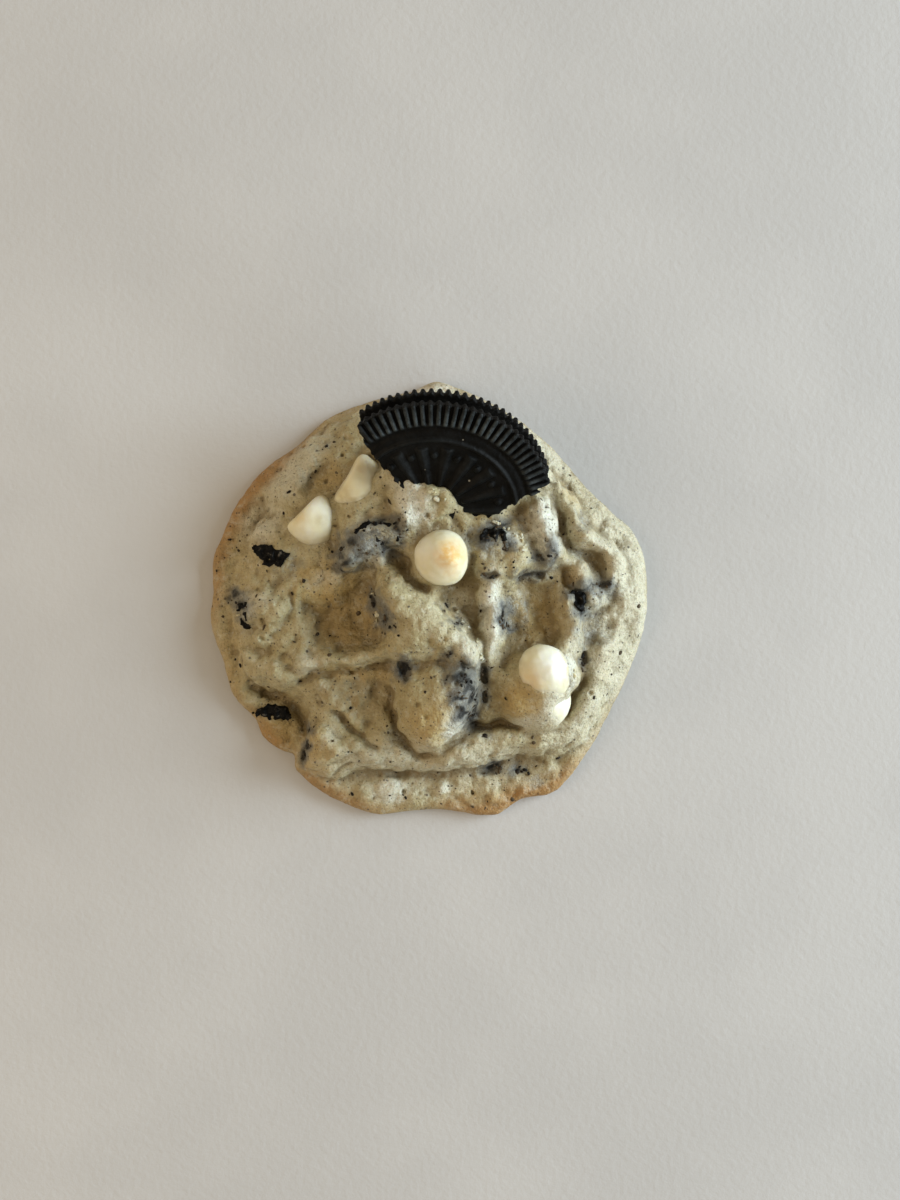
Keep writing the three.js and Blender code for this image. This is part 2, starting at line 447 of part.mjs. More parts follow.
// The mound's top is a disc of even triangles: each ring has six more points than the one inside it.
function doughSolid() {
  const points = [[0, 0, doughHeight(0, 0)]];
  const triangles = [];
  const ringStart = (ring) => (ring === 0 ? 0 : 1 + 3 * ring * (ring - 1));
  const at = (ring, k) => ringStart(ring) + (ring === 0 ? 0 : k % (6 * ring));
  for (let ring = 1; ring <= DISC_RINGS; ring += 1) {
    for (let k = 0; k < 6 * ring; k += 1) {
      const turn = k / (6 * ring);
      const share = ring / DISC_RINGS;
      const r = (radiusAt(OUTLINE, turn * 360) - DISC_INSET) * share;
      const [x, y] = [r * Math.cos(turn * 2 * Math.PI), r * Math.sin(turn * 2 * Math.PI)];
      points.push([x, y, doughHeight(x, y)]);
    }
    for (let sector = 0; sector < 6; sector += 1) {
      for (let k = 0; k < ring; k += 1) {
        const inner = sector * (ring - 1) + k;
        const outer = sector * ring + k;
        triangles.push(at(ring - 1, inner), at(ring, outer), at(ring, outer + 1));
        if (k < ring - 1) triangles.push(at(ring - 1, inner), at(ring, outer + 1), at(ring - 1, inner + 1));
      }
    }
  }
  const around = 6 * DISC_RINGS;
  let previous = ringStart(DISC_RINGS);
  const addRing = (makePoint) => {
    const start = points.length;
    for (let k = 0; k < around; k += 1) {
      const next = (k + 1) % around;
      points.push(makePoint(k / around));
      triangles.push(previous + k, start + k, start + next);
      triangles.push(previous + k, start + next, previous + next);
    }
    previous = start;
  };
  for (const inset of RIM_STEPS) addRing((turn) => rimPoint(turn, inset));
  addRing((turn) => rimPoint(turn, UNDERSIDE_INSET, 0));
  const middle = points.push([0, 0, 0]) - 1;
  for (let k = 0; k < around; k += 1) triangles.push(previous + k, middle, previous + ((k + 1) % around));
  const geometry = new THREE.BufferGeometry();
  geometry.setAttribute("position", new THREE.Float32BufferAttribute(points.flat(), 3));
  geometry.setIndex(triangles);
  return solidOf(geometry);
}

// A crumb is a small faceted grain, sunk in the dough by a third of its height.
function crumbSolid([x, y, radius], index) {
  const geometry = new THREE.IcosahedronGeometry(radius, 0);
  geometry.rotateX(index * 1.1);
  geometry.rotateZ(index * 2.3);
  geometry.scale(1, 0.85, 0.75);
  geometry.translate(x, y, doughHeight(x, y) + radius * 0.2);
  return solidOf(geometry);
}

// --------------------------------------------------------------------------------------- the chips

// A chip's side from the middle of its base to its tip, as shares of radius and height.
const CHIP_PROFILE = [
  [0, 0], [0.88, 0], [1, 0.14], [0.99, 0.36], [0.9, 0.57], [0.66, 0.79], [0.3, 0.94], [0, 1],
];

function chipGeometry({ radius, height, base, tilt, heading }, grow) {
  const profile = CHIP_PROFILE.map(([r, z]) => {
    const reach = r === 0 ? 0 : r * (radius + grow);
    return new THREE.Vector2(reach, z * (height + 2 * grow) - grow);
  });
  const geometry = new THREE.LatheGeometry(profile, CHIP_SIDES);
  geometry.rotateX(Math.PI / 2);
  geometry.rotateY(radians(tilt));
  geometry.rotateZ(radians(heading));
  geometry.translate(...base);
  return geometry;
}

// ---------------------------------------------------------------------------- the sandwich biscuit

// How far the wafer's face stands in front of its rim, at a radius and a column of the teeth.
function faceHeight(r, column) {
  const raysPerColumn = RAY_COUNT / (2 * WAFER_TEETH);
  const onRay = (column * raysPerColumn) % 1 < 0.5;
  if (r <= HUB_RADIUS) return FACE_RISE + RELIEF;
  if (r < RAY_END && onRay) return FACE_RISE + RELIEF;
  return FACE_RISE;
}

// One whole wafer: its rim's front edge at z = 0, the patterned face towards +Z, and a flat back.
function waferSolid() {
  const radii = [HUB_RADIUS, RAY_START, RAY_END - 0.4, RAY_END, RIB_START];
  const columns = 2 * WAFER_TEETH;
  const ringAt = (radiusOf, heightOf) =>
    Array.from({ length: columns }, (_, column) => {
      const angle = (column / columns) * 2 * Math.PI;
      const r = radiusOf(column);
      return [r * Math.cos(angle), r * Math.sin(angle), heightOf(column)];
    });
  const groove = (column) => TOOTH_DEPTH * (column % 2);
  const toothRadius = (column) => WAFER_RADIUS - groove(column);
  const rings = radii.map((r) => ringAt(() => r, (column) => faceHeight(r, column)));
  rings.push(ringAt(() => RIB_START + 0.7, (column) => FACE_RISE - groove(column)));
  rings.push(ringAt(toothRadius, (column) => -groove(column)));
  rings.push(ringAt(toothRadius, () => -WAFER_THICKNESS));
  return solidFromRings([0, 0, FACE_RISE + RELIEF], rings, [0, 0, -WAFER_THICKNESS]);
}

// The wedge that was broken from the whole biscuit, as a thick slab to cut with.
function wedgeCutter(grow, front, back) {
  return solidOf(slab(grownOutline(WEDGE, grow), back, front));
}

function biscuitPlacement() {
  const lean = new THREE.Matrix4().makeRotationX(radians(BISCUIT_LEAN));
  const turn = new THREE.Matrix4().makeRotationZ(radians(-BISCUIT_TURN));
  return new THREE.Matrix4().makeTranslation(...BISCUIT_CENTRE).multiply(turn).multiply(lean);
}

function biscuitPieces() {
  const whole = waferSolid();
  const cutter = wedgeCutter(0, 3, -9);
  const creamFront = -WAFER_THICKNESS - PIECE_GAP;
  const creamBack = creamFront - CREAM_THICKNESS;
  const backTop = creamBack - PIECE_GAP;
  const disc = new THREE.CylinderGeometry(CREAM_RADIUS, CREAM_RADIUS, CREAM_THICKNESS, 96);
  disc.rotateX(Math.PI / 2);
  disc.translate(0, 0, (creamFront + creamBack) / 2);
  const cream = solidOf(disc).intersect(wedgeCutter(-0.8, creamFront + 1, creamBack - 1));
  const turned = whole.rotate([180, 0, 0]).translate([0, 0, backTop - WAFER_THICKNESS]);
  return {
    wafer_front: whole.intersect(cutter),
    cream_filling: cream,
    wafer_back: turned.intersect(cutter),
    socket: wedgeCutter(CLEARANCE, FACE_RISE + RELIEF + CLEARANCE, backTop - WAFER_THICKNESS - 1.3),
  };
}

// -------------------------------------------------------------------------------------- the chunks

function chunkSolid({ outline, top, thickness, tilt, heading }, grow) {
  const middle = (k) => outline.reduce((sum, point) => sum + point[k], 0) / outline.length;
  const centre = [middle(0), middle(1)];
  const local = outline.map(([x, y]) => [x - centre[0], y - centre[1]]);
  const geometry = slab(grownOutline(local, grow), -thickness - grow, grow);
  geometry.rotateZ(radians(-heading));
  geometry.rotateY(radians(tilt));
  geometry.rotateZ(radians(heading));
  geometry.translate(centre[0], centre[1], top);
  return solidOf(geometry);
}

// -------------------------------------------------------------------------------------- the cookie

const DOUGH = new THREE.MeshStandardMaterial({ color: 0xb8a679, roughness: 0.75, metalness: 0 });
const WHITE_CHIP = new THREE.MeshStandardMaterial({ color: 0xe9dcae, roughness: 0.4, metalness: 0 });
const DARK_BISCUIT = new THREE.MeshStandardMaterial({ color: 0x17130f, roughness: 0.7, metalness: 0 });
const CREAM = new THREE.MeshStandardMaterial({ color: 0xf0ebdc, roughness: 0.6, metalness: 0 });

function meshOf(name, solid, material) {
  const mesh = new THREE.Mesh(geometryOf(solid), material);
  mesh.name = name;
  return mesh;
}

function makeCookie() {
  const cookie = new THREE.Group();
  const biscuit = biscuitPieces();
  const placement = biscuitPlacement();
  const place = (solid) => solidOf(geometryOf(solid).applyMatrix4(placement));
  const socket = place(biscuit.socket);

  let dough = doughSolid();
  CRUMBS.forEach((crumb, index) => {
    dough = dough.add(crumbSolid(crumb, index));
  });
  dough = dough.subtract(socket);

  const sockets = [];
  for (const chip of CHIPS) {
    let solid = solidOf(chipGeometry(chip, 0)).subtract(socket);
    for (const other of sockets) solid = solid.subtract(other);
    cookie.add(meshOf(chip.name, largestBody(solid), WHITE_CHIP));
    sockets.push(solidOf(chipGeometry(chip, CLEARANCE)));
  }
  for (const chunk of CHUNKS) {
    cookie.add(meshOf(chunk.name, chunkSolid(chunk, 0), DARK_BISCUIT));
    sockets.push(chunkSolid(chunk, CLEARANCE));
  }
  for (const other of sockets) dough = dough.subtract(other);
  cookie.add(meshOf("dough", largestBody(dough), DOUGH));

  const sandwich = new THREE.Group();
  sandwich.applyMatrix4(placement);
  sandwich.add(meshOf("wafer_front", largestBody(biscuit.wafer_front), DARK_BISCUIT));
  sandwich.add(meshOf("cream_filling", largestBody(biscuit.cream_filling), CREAM));
  sandwich.add(meshOf("wafer_back", largestBody(biscuit.wafer_back), DARK_BISCUIT));
  cookie.add(sandwich);

  // The origin is under the middle of the cookie's own box.
  const middle = new THREE.Box3().setFromObject(cookie).getCenter(new THREE.Vector3());
  cookie.position.set(-middle.x, -middle.y, 0);
  return cookie;
}

export default makeCookie();
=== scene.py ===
"""A thick cookies and cream cookie, seen from straight above on a plain pale floor.

Shapes are worked out in millimetres, in the frame of the CAD part: +Z up, +Y towards the standing sandwich
biscuit. Each larger piece is the zero surface of a distance field, meshed on a voxel grid. Crumbs and torn
flakes are squashed balls of 20 triangles.
"""

import math

import bpy
import numpy as np
import openvdb
from mathutils import Matrix, Vector


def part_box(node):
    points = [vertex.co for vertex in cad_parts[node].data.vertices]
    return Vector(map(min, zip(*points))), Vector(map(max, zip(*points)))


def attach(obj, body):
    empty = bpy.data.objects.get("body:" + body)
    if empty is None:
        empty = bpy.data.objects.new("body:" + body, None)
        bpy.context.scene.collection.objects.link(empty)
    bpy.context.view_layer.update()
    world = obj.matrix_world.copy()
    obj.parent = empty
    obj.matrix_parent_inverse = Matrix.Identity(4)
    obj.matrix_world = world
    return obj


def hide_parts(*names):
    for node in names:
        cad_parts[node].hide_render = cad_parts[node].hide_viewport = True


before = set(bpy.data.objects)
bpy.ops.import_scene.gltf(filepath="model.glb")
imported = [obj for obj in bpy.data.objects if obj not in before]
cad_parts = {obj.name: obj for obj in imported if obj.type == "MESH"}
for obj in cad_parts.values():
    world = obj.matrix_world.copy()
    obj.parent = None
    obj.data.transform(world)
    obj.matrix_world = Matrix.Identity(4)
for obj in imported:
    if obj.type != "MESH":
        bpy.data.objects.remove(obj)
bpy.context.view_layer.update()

MM = 0.001

# ---- driving sizes

# The cookie's outline on the table, and the edge of the thick body on its skirt: (angle in degrees, radius).
OUTLINE = [
    (0, 43.6), (15, 43.4), (21, 41.9), (25, 40.1), (36, 38.3), (53, 38.9), (68, 40.3), (79, 41.7),
    (88, 43.1), (95, 41.2), (106, 40.8), (120, 40.9), (131, 40), (140, 41.2), (149, 42.2), (163, 42.9),
    (170, 43.5), (178, 43), (187, 43.6), (197, 42.7), (206, 43.4), (215, 42.1), (220, 42.9), (226, 42.2),
    (229.5, 41.2), (232, 43), (236, 43.7), (243, 44.1), (257, 44.2), (265, 42.6), (274, 42.2), (287, 45.1),
    (295, 44.2), (303, 46), (314, 44.4), (330, 42.5), (345, 42.8),
]
BODY_EDGE = [
    (0, 42.6), (20, 41.2), (40, 37.3), (60, 38.6), (88, 40.6), (120, 39.4), (140, 39), (157, 37.2),
    (172, 38.8), (185, 39.7), (203, 39.2), (214, 35.4), (224, 33.8), (231, 40.4), (238, 42), (247, 38.4),
    (258, 35.6), (272, 34.6), (288, 36), (300, 37.4), (312, 41.6), (330, 41.8),
]
SKIRT_HEIGHT = 3.3
SKIRT_EDGE_HEIGHT = 1.1
SKIRT_ROUNDING = 2.4
UNDERSIDE_INSET = 0.8
SHOULDER_FOOT = 3.2
SHOULDER_HEIGHT = 5.6
SHOULDER_WIDTH = 10.0
CROWN_HEIGHT = 3.4
CROWN_RADIUS = 36

# Areas that stand above or lie below the mound: lift, width of the rounded edge, outline.
AREAS = [
    # high ground in the middle, with cliffs to the left and the right
    (2.9, 2.6, [(-19.2, 19.6), (-18.6, 15), (-18.2, 10.5), (-18, 6.4), (-15.3, 4.6), (-12.4, 5.8),
        (-10.2, 5.6), (-10.1, 1.8), (-9.4, -2), (-8.8, -6), (-9.4, -10.8), (-7, -13.6), (-7.3, -17),
        (-7.2, -20), (-6, -23.6), (-4.4, -27.2), (-1.8, -29.8), (1.2, -29.8), (5, -27.3), (8.6, -24.5),
        (9.8, -20), (10.4, -15), (10.6, -11.3), (11, -8.6), (8.2, -6.6), (5.5, -4.3), (3.8, -1.2),
        (3.4, 1.2), (5.6, 3.4), (8.6, 3.6), (10.2, 2), (10.4, -1.6), (10.2, -5), (10.8, -8.4),
        (11.2, -12.8), (13, -13), (13.9, -9.6), (14.2, -6.6), (13.4, -3.6), (13.9, -0.4), (15.4, 2.6),
        (18.6, 3.2), (21.4, 4.6), (24.6, 5.4), (26.6, 8.4), (26.2, 11.6), (25.6, 15.4), (24.4, 19),
        (22, 25), (14, 31), (4, 34), (-6, 32), (-12, 26), (-15, 22.5)]),
    # hump before the biscuit, and its bright crest
    (2.8, 4.2, [(-12.6, 23.4), (-17, 18.4), (-16.5, 16), (-11, 15.2), (-6, 14.8), (-4.6, 11.5), (-2, 12.2),
        (1, 13.4), (4, 14.6), (5.2, 16.4), (5, 21), (3, 26), (-4, 27), (-10, 25)]),
    (2.8, 3, [(-9.4, 24.5), (-7.6, 21), (-7, 17.5), (-6.2, 13.6), (-4.8, 10.4), (-2.8, 11.6), (-0.8, 14.6),
        (0.4, 17), (2, 19.4), (1.8, 25), (-4, 27)]),
    # dough that leans against the foot of the biscuit
    (1.8, 2.2, [(-1, 12.8), (2.4, 13), (5.6, 13.8), (8, 14.4), (7.4, 16.6), (5.6, 19.6), (3.4, 22),
        (-2, 22)]),
    # grey mass over a covered chunk
    (2.6, 2.6, [(-18, 8.6), (-16.8, 12.2), (-13.6, 14), (-10, 15), (-5, 14.4), (-4.4, 10.6), (-6.2, 9.4),
        (-8.4, 8.8), (-7.6, 5.2), (-9.6, 4.8), (-12.4, 6), (-15.3, 4.7), (-17.6, 6.1)]),
    # trench left of the middle chip
    (-4.2, 2, [(-8.6, 9), (-5.2, 9.8), (-3.4, 8.4), (-2.6, 5), (-0.4, 3.4), (1.6, 2.2), (-0.6, 0.8),
        (-4, 2.8), (-6.6, 4.6), (-8, 5)]),
    # spine
    (4.2, 3.4, [(-9.8, 5.2), (-7, 4.6), (-3.6, 2.4), (-1, 1), (1.6, 1.4), (3.2, 0.8), (3.4, -1.6),
        (5.4, -4.6), (8.2, -7), (10.9, -8.8), (10.4, -13), (6, -13.4), (2, -12), (-2, -12), (-4.2, -12.4),
        (-8.6, -11.6), (-9.2, -9), (-8.8, -4), (-9.8, 0)]),
    # lump under the spine
    (4.6, 4.4, [(-6.8, -17), (-4.2, -14.4), (-1.4, -12.8), (2.6, -12), (6.6, -12.8), (10, -14.2),
        (9.6, -20), (8.4, -24.4), (4.8, -27.2), (1, -29.6), (-1.8, -29.6), (-4.3, -27), (-5.9, -23.4),
        (-7, -19.6)]),
    # dip between the spine and the ridge right of it
    (-1.1, 2.4, [(3.6, 1.2), (5.6, 3.4), (9.6, 3), (10.2, -0.6), (10, -5), (9, -7), (6.4, -5), (4.2, -2)]),
    # mass right of the middle chip, its lobe, and the hollow behind it
    (2.6, 3, [(8, 5), (8.4, 9.5), (9.8, 12.5), (13.4, 14.2), (16, 13), (18.4, 11), (19.6, 8.6), (19.4, 5.4),
        (17.6, 3.6), (15.6, 3.2), (14.6, 4.8), (13, 4), (10.8, 3.6)]),
    (1.7, 2.2, [(14.8, 8), (15.2, 4.4), (16.6, 3), (19, 4.6), (19.9, 7), (18.8, 9.6), (16.6, 10)]),
    (-2.6, 2.2, [(14.5, 16.5), (18, 18.6), (20, 15), (20, 11.6), (18, 11.4), (16, 13.2), (14, 14)]),
    # pale mass further right
    (3.2, 2.6, [(19.6, 19.6), (23.6, 18.6), (25.2, 15), (25.6, 11), (26, 8), (24, 5.4), (21.4, 4.8),
        (20.2, 8), (20.2, 11), (20.6, 14), (19.2, 17)]),
    # inner side of the right fold, and the dips beside it
    (-2.4, 2.4, [(28.4, 9.6), (33, 9), (35, 6), (35.2, 2.8), (33.4, 3.2), (30.4, 5.4), (27.8, 8.4)]),
    (-2.2, 1.6, [(25, 6.6), (27.4, 5.8), (29.2, 3.6), (28.6, 1.6), (25.8, 2.6)]),
    (2.6, 1.8, [(30.4, 1.6), (33, 2.4), (34.8, 1), (34.2, -1.6), (31.8, -2.6), (30, -1)]),
    (-2.4, 3, [(28.6, -2.6), (33, -4), (36, -3), (36.4, -8), (33, -10.4), (29.4, -10), (28.8, -6)]),
    # basin in the right, and the mass below it that holds the right chip
    (-3.2, 3.6, [(14.6, 2.2), (20, 3.6), (25.4, 4.6), (27, 1), (26.4, -3), (26, -8), (21, -9),
        (16.4, -11.4), (13.8, -9.6), (14.4, -4)]),
    (2.6, 3.2, [(13, -13), (17, -10.4), (22, -9), (27, -8.6), (29.8, -12), (28.6, -16.4), (26.9, -18.6),
        (26.6, -21.4), (24.6, -23.8), (20.4, -24.9), (17, -24.2), (13.4, -23.4), (10, -23.6), (9.6, -18),
        (10.4, -13.6)]),
    # hollow in the left, and the covered chip in it
    (-3.6, 4.2, [(-25.2, 3), (-22, 5.4), (-15.6, 4.8), (-10.4, 5.6), (-9.4, -2), (-9, -9.6), (-14, -10.2),
        (-20.4, -10.8), (-24.6, -7)]),
    (3, 4.2, [(-25.6, 2.4), (-23.4, 5.4), (-19, 6.2), (-15, 4.8), (-14.2, 0.6), (-16.6, -2.2), (-21.4, -3),
        (-25, -0.8)]),
    # slope beside the tall chip
    (-2.4, 1.6, [(-15, 19), (-14.5, 23), (-12, 27.6), (-7.6, 26.6), (-8.2, 23.6), (-9.6, 21.6),
        (-12, 18.6)]),
    # hollow between the two left chips
    (-2.2, 2.8, [(-25, 21.4), (-21, 26), (-16.6, 27.4), (-18.4, 21.6), (-20.6, 20), (-24, 18.4)]),
    # lumps and hollow by the left edge
    (1.7, 2.4, [(-34.4, 11.4), (-33.6, 15.6), (-30, 16.4), (-27.6, 13.6), (-27, 11), (-30, 10.4)]),
    (-2.2, 2.6, [(-34.6, 2.4), (-33.8, 7), (-28, 5.2), (-25.6, 6), (-26, 2.8), (-30, 1.4)]),
    (2.6, 2.2, [(-36.6, 1.2), (-31, 1.4), (-26.4, 1.4), (-26, -2), (-28.6, -4.6), (-31.6, -5), (-33.6, -3),
        (-36, -1)]),
    (1.4, 1.4, [(-37, -1.8), (-34.4, -0.8), (-33.2, -3.6), (-34.2, -6.2), (-36.6, -6), (-37.2, -4)]),
    (2.4, 2, [(-34.8, -7.4), (-32.6, -5.8), (-30.2, -6.6), (-30, -9.2), (-32.4, -10.2), (-34.4, -9.4)]),
    (2.8, 2.2, [(-25.6, -11.4), (-23.4, -10.2), (-20.6, -11.2), (-20.2, -14), (-22.4, -15.2),
        (-25.4, -14.6)]),
    (2.4, 3.4, [(-36.6, -9.6), (-33, -10.6), (-28.4, -10.6), (-25.2, -14.8), (-25.8, -16.8), (-28, -18.2),
        (-31.4, -18.6), (-36, -17.6), (-38, -14)]),
    # slack between the ledge, the lump and the lower ring
    (-1.7, 3.6, [(-21, -14.6), (-14, -14.4), (-7.6, -14), (-7.6, -19), (-5.6, -25), (-3.4, -29.4),
        (-9, -29), (-14, -27), (-18.6, -22)]),
    # lobe at the lower left
    (3.2, 3, [(-23.2, -25.2), (-20.4, -24), (-17.2, -24.8), (-15.6, -28.4), (-16.4, -32), (-20, -34.8),
        (-24.4, -34), (-24.8, -30)]),
]

# Rolls of dough along a line: lift, half width, points.
RIDGES = [
    (1, 2.2, [(-9.4, 21.8), (-5, 22.6), (-1.8, 20.8), (2, 19.6), (4, 17.4)]),
    (0.9, 2.4, [(1.8, 21), (3.8, 19.2), (5.4, 17), (7, 15.4)]),
    (1.2, 3.8, [(-6, 1.8), (-2.6, -1.8), (2, -4.6), (5.6, -7.6), (8.2, -9.8), (8.6, -12)]),
    (1.3, 4, [(7.6, -13.4), (6.9, -18), (6, -23), (2.4, -27)]),
    (1.9, 3.4, [(11.6, 3.5), (12, 0), (11.9, -4), (12.3, -7.5), (11.9, -12)]),
    (1.5, 2.4, [(14.8, 4.6), (16.6, 1.4), (17.8, -2), (18.2, -5)]),
    (2.7, 2.4, [(22, 23.5), (25, 20.6), (27.2, 17.6), (28.8, 14.8), (30.4, 12.6)]),
    (3, 2.5, [(28, 11.6), (31.6, 10.8), (34.6, 9), (36, 6), (36.2, 3)]),
    (2.4, 1.9, [(25.6, 8.6), (27.8, 6.6), (29.6, 4.4), (30, 2.8)]),
    (1.5, 2.2, [(36, 14), (39.4, 12), (40.6, 8), (41.2, 2), (41.2, -6)]),
    (0.8, 1.4, [(37, 9.4), (38.6, 5.6), (39, 1), (38.4, -3)]),
    (2.5, 3.2, [(26.2, -0.6), (27, -4), (27, -8.4), (27.2, -12), (26.8, -16)]),
    (2.2, 3, [(15.6, -15), (16.2, -18.4), (17.6, -21.6)]),
    (1.4, 1.8, [(25.6, -9.6), (26.6, -12.4), (27.6, -16.2)]),
    (1.9, 4.2, [(3, -31.2), (9, -28.8), (15, -28), (21.5, -28), (27, -25.6), (30.6, -21)]),
    (1.4, 3.2, [(30.6, -21), (33.4, -15), (35, -9)]),
    (1.4, 3.4, [(-15, -30.2), (-10, -31.4), (-3, -31.8), (3, -31.8), (8, -31.2)]),
    (1.6, 4.2, [(-30, 20.5), (-26, 25.5), (-20, 29.8), (-14.6, 32.4)]),
    (2.2, 2, [(-9, -10.8), (-13.6, -11.6), (-19.6, -11.9)]),
    (1.1, 2.4, [(-19, -19.4), (-14.6, -21.4), (-12, -24.6), (-8.6, -27.6)]),
    (1.1, 2.2, [(-20, -17), (-15, -18), (-10.6, -21), (-7.6, -24)]),
]

# Creases: depth, width, points.
CREASES = [
    (1.6, 2.2, [(25.6, 24), (28, 20.2), (29.9, 16), (31.4, 13.4), (33.6, 11.8)]),
    (1.3, 2, [(23, 20.4), (25.6, 16.6), (26.6, 12.2), (26.8, 9)]),
    (0.9, 1.6, [(34.4, 14), (37.6, 12.4), (39.6, 10), (40.8, 6.6)]),
    (0.8, 1.5, [(36.6, 10.6), (38.2, 8), (39.2, 4.6), (39.4, 0)]),
    (1.8, 1.6, [(36.8, 4), (36.2, 0.4), (34.4, -2.6), (31.4, -3.6)]),
    (2.6, 1.8, [(9, -24.8), (13, -23.8), (17, -24.6), (20.4, -25.4), (24.8, -24.4), (27, -21.8),
        (27.6, -18.6), (29.4, -16.4)]),
    (1, 1.6, [(12, -33.4), (15, -32), (20, -31), (26, -28.6)]),
    (1.5, 1.7, [(-15.6, -33), (-10, -34.2), (-5, -34.4), (0, -34.2), (6, -34), (11, -33.4)]),
    (1.7, 2.2, [(-7.6, -13.4), (-12, -13.8), (-18, -13.9), (-21, -15.4), (-25, -16.4)]),
    (1.6, 1.6, [(-35.4, -17.8), (-31.6, -19.2), (-28.4, -19), (-26.4, -21.6), (-24, -24.6), (-24, -28),
        (-25, -32)]),
    (1.4, 1.6, [(-20.6, -20.4), (-16.4, -22.4), (-14.2, -25.4), (-11, -28.4), (-7, -30)]),
    (2.2, 1.8, [(-7.4, -18), (-6.4, -22.6), (-5, -27), (-2.6, -30), (1.6, -30.6), (6, -27.8),
        (9.4, -24.6)]),
]

# Small crumbly lumps: x, y, radius, lift.
LUMPS = [
    (-7.4, -37.6, 3, 1.2), (-2.4, -38.4, 2.2, 0.8), (2.8, -37.4, 2.1, 1), (7, -38.6, 2, 0.6),
    (-12.6, -38.2, 2.2, 0.7), (13.2, -39, 2.4, 0.8), (-33.2, -2.6, 2.2, 0.8), (-30.4, -5.4, 2, 0.7),
    (-28.6, -1.6, 2, 0.6), (-22.8, -12.8, 2.2, 0.7), (-26.4, -9, 1.9, 0.5), (-30, -14, 2.6, 0.6),
    (-32.6, 12.6, 2.2, 0.6), (-19.2, -27.6, 2, 0.6), (-22, -31.6, 1.8, 0.6), (18.2, -37.6, 2.2, 0.6),
    (24, -33.4, 2.2, 0.5), (30, -27.4, 2.4, 0.6), (-17, 10, 1.8, 0.5), (12.8, 6.2, 2.2, 0.6),
]

# Holes that reach under the surface: two ends, radius, and how far the middle lies below the surface.
HOLES = [
    ((11, 4), (12.6, 4.3), 0.9, 0.4), ((17.7, 3.4), (19, 4.6), 0.75, 0.4),
    ((19, 4.6), (21.6, 4.3), 0.8, 0.4), ((-4.7, -12.6), (-3.9, -14.6), 1.1, 0.6),
    ((12.2, -33.6), (14.6, -32.2), 0.8, 0.4), ((-23.2, -25.4), (-22.9, -25.9), 0.55, 0.2),
    ((-23.3, -28.2), (-23.8, -29.1), 0.7, 0.3), ((-24.4, -30.4), (-24.4, -31.6), 0.6, 0.3),
    ((30, -10.6), (30.1, -12.2), 0.6, 0.3), ((10.4, -13), (10.8, -15.6), 0.8, 0.5),
    ((10.8, -18.2), (11.1, -20), 0.5, 0.3),
]

# Small round pits: how many, how far out they reach, their least and largest radius, and how deep they lie.
PIT_COUNT = 150
PIT_REACH = 40
PIT_RADIUS = (0.25, 0.6)
PIT_SINK = 0.1

# Roughness, as waves of several sizes: height, size, number of waves, seed.
DOUGH_ROUGHNESS = [(0.16, 5.0, 40, 1), (0.12, 2.4, 40, 2), (0.07, 1.1, 40, 3)]
WAFER_ROUGHNESS = [(0.26, 1.8, 30, 11), (0.16, 0.7, 30, 12)]
CHUNK_ROUGHNESS = [(0.26, 1.7, 24, 31), (0.15, 0.7, 24, 32)]
CREAM_ROUGHNESS = [(0.2, 2.0, 24, 21)]
# Shallow cracks in the dough's skin, along waves: depth, width, size of the waves, seed.
CRACKS = [(0.26, 0.12, 6.0, 15), (0.18, 0.14, 3.2, 16)]
# Low lumps in it, also along waves: height, size of the waves, seed.
LOW_LUMPS = [(0.60, 6.5, 22), (0.32, 3.4, 23)]
# The broader waves that say where there are cracks, and where lumps: size, number of waves, seed.
CRACKED_AREAS = (4.0, 30, 9)
LUMPY_AREAS = (14.0, 30, 21)
# Roughness is added this far from the dough's surface, and this share of it stays beside the inserts.
SKIN_BAND = 1.6
SHELTERED_ROUGHNESS = 0.35
# Where the dough is smoother: x, y, half length, half width, turn, strength.
SMOOTH = [
    (45, 0, 20, 60, 0, 0.6), (2, -21.5, 7, 8.6, 0, 0.85), (19, -19, 6.5, 6.5, 0, 0.85),
]

# White chips: name, radius, height, middle of the base, and how far each leans towards a heading, in degrees.
CHIPS = [
    ("white_chip_centre", 5.2, 8.3, (1.9, 7.7, 12.4), 21, -16),
    ("white_chip_left", 5.0, 8.4, (-23.8, 17.0, 10.0), 96, -48),
    ("white_chip_tall", 5.5, 9.0, (-15.5, 23.1, 11.3), 99, -31),
    ("white_chip_right", 5.3, 7.4, (21.8, -14.5, 11.2), 14, 50),
    ("white_chip_low_right", 6.0, 8.2, (21.0, -18.9, 7.4), 20, -62),
]
CHIP_PROFILE = [
    (0, 0), (0.6, 0), (0.88, 0.04), (0.98, 0.14), (1, 0.28), (0.97, 0.45), (0.86, 0.63), (0.66, 0.79),
    (0.38, 0.91), (0.14, 0.98), (0, 1),
]
CHIP_GAP = 0.06
# The dough climbs a little up each chip: width of the fillet with the dough, width of the fillet between two
# chips, and how deep the dough lies under each chip's skin.
COLLAR = 2.0
SEAM = 2.4
CHIP_SINK = {
    "white_chip_centre": 0.45, "white_chip_left": 0.55, "white_chip_tall": 1.0, "white_chip_right": 0.7,
    "white_chip_low_right": 0.45,
}
# A film of dough hides part of two chips: a place on the film's edge, and the way in which it thins.
FILMS = {
    "white_chip_low_right": ((24.0, -20.0), (1.0, 0.35)),
    "white_chip_right": ((21.5, -16.9), (0.25, 1.0)),
}
FILM_THICKNESS = 0.3
FILM_FADE = 0.9
FILM_RAGGEDNESS = [(0.6, 3.0, 20, 33)]

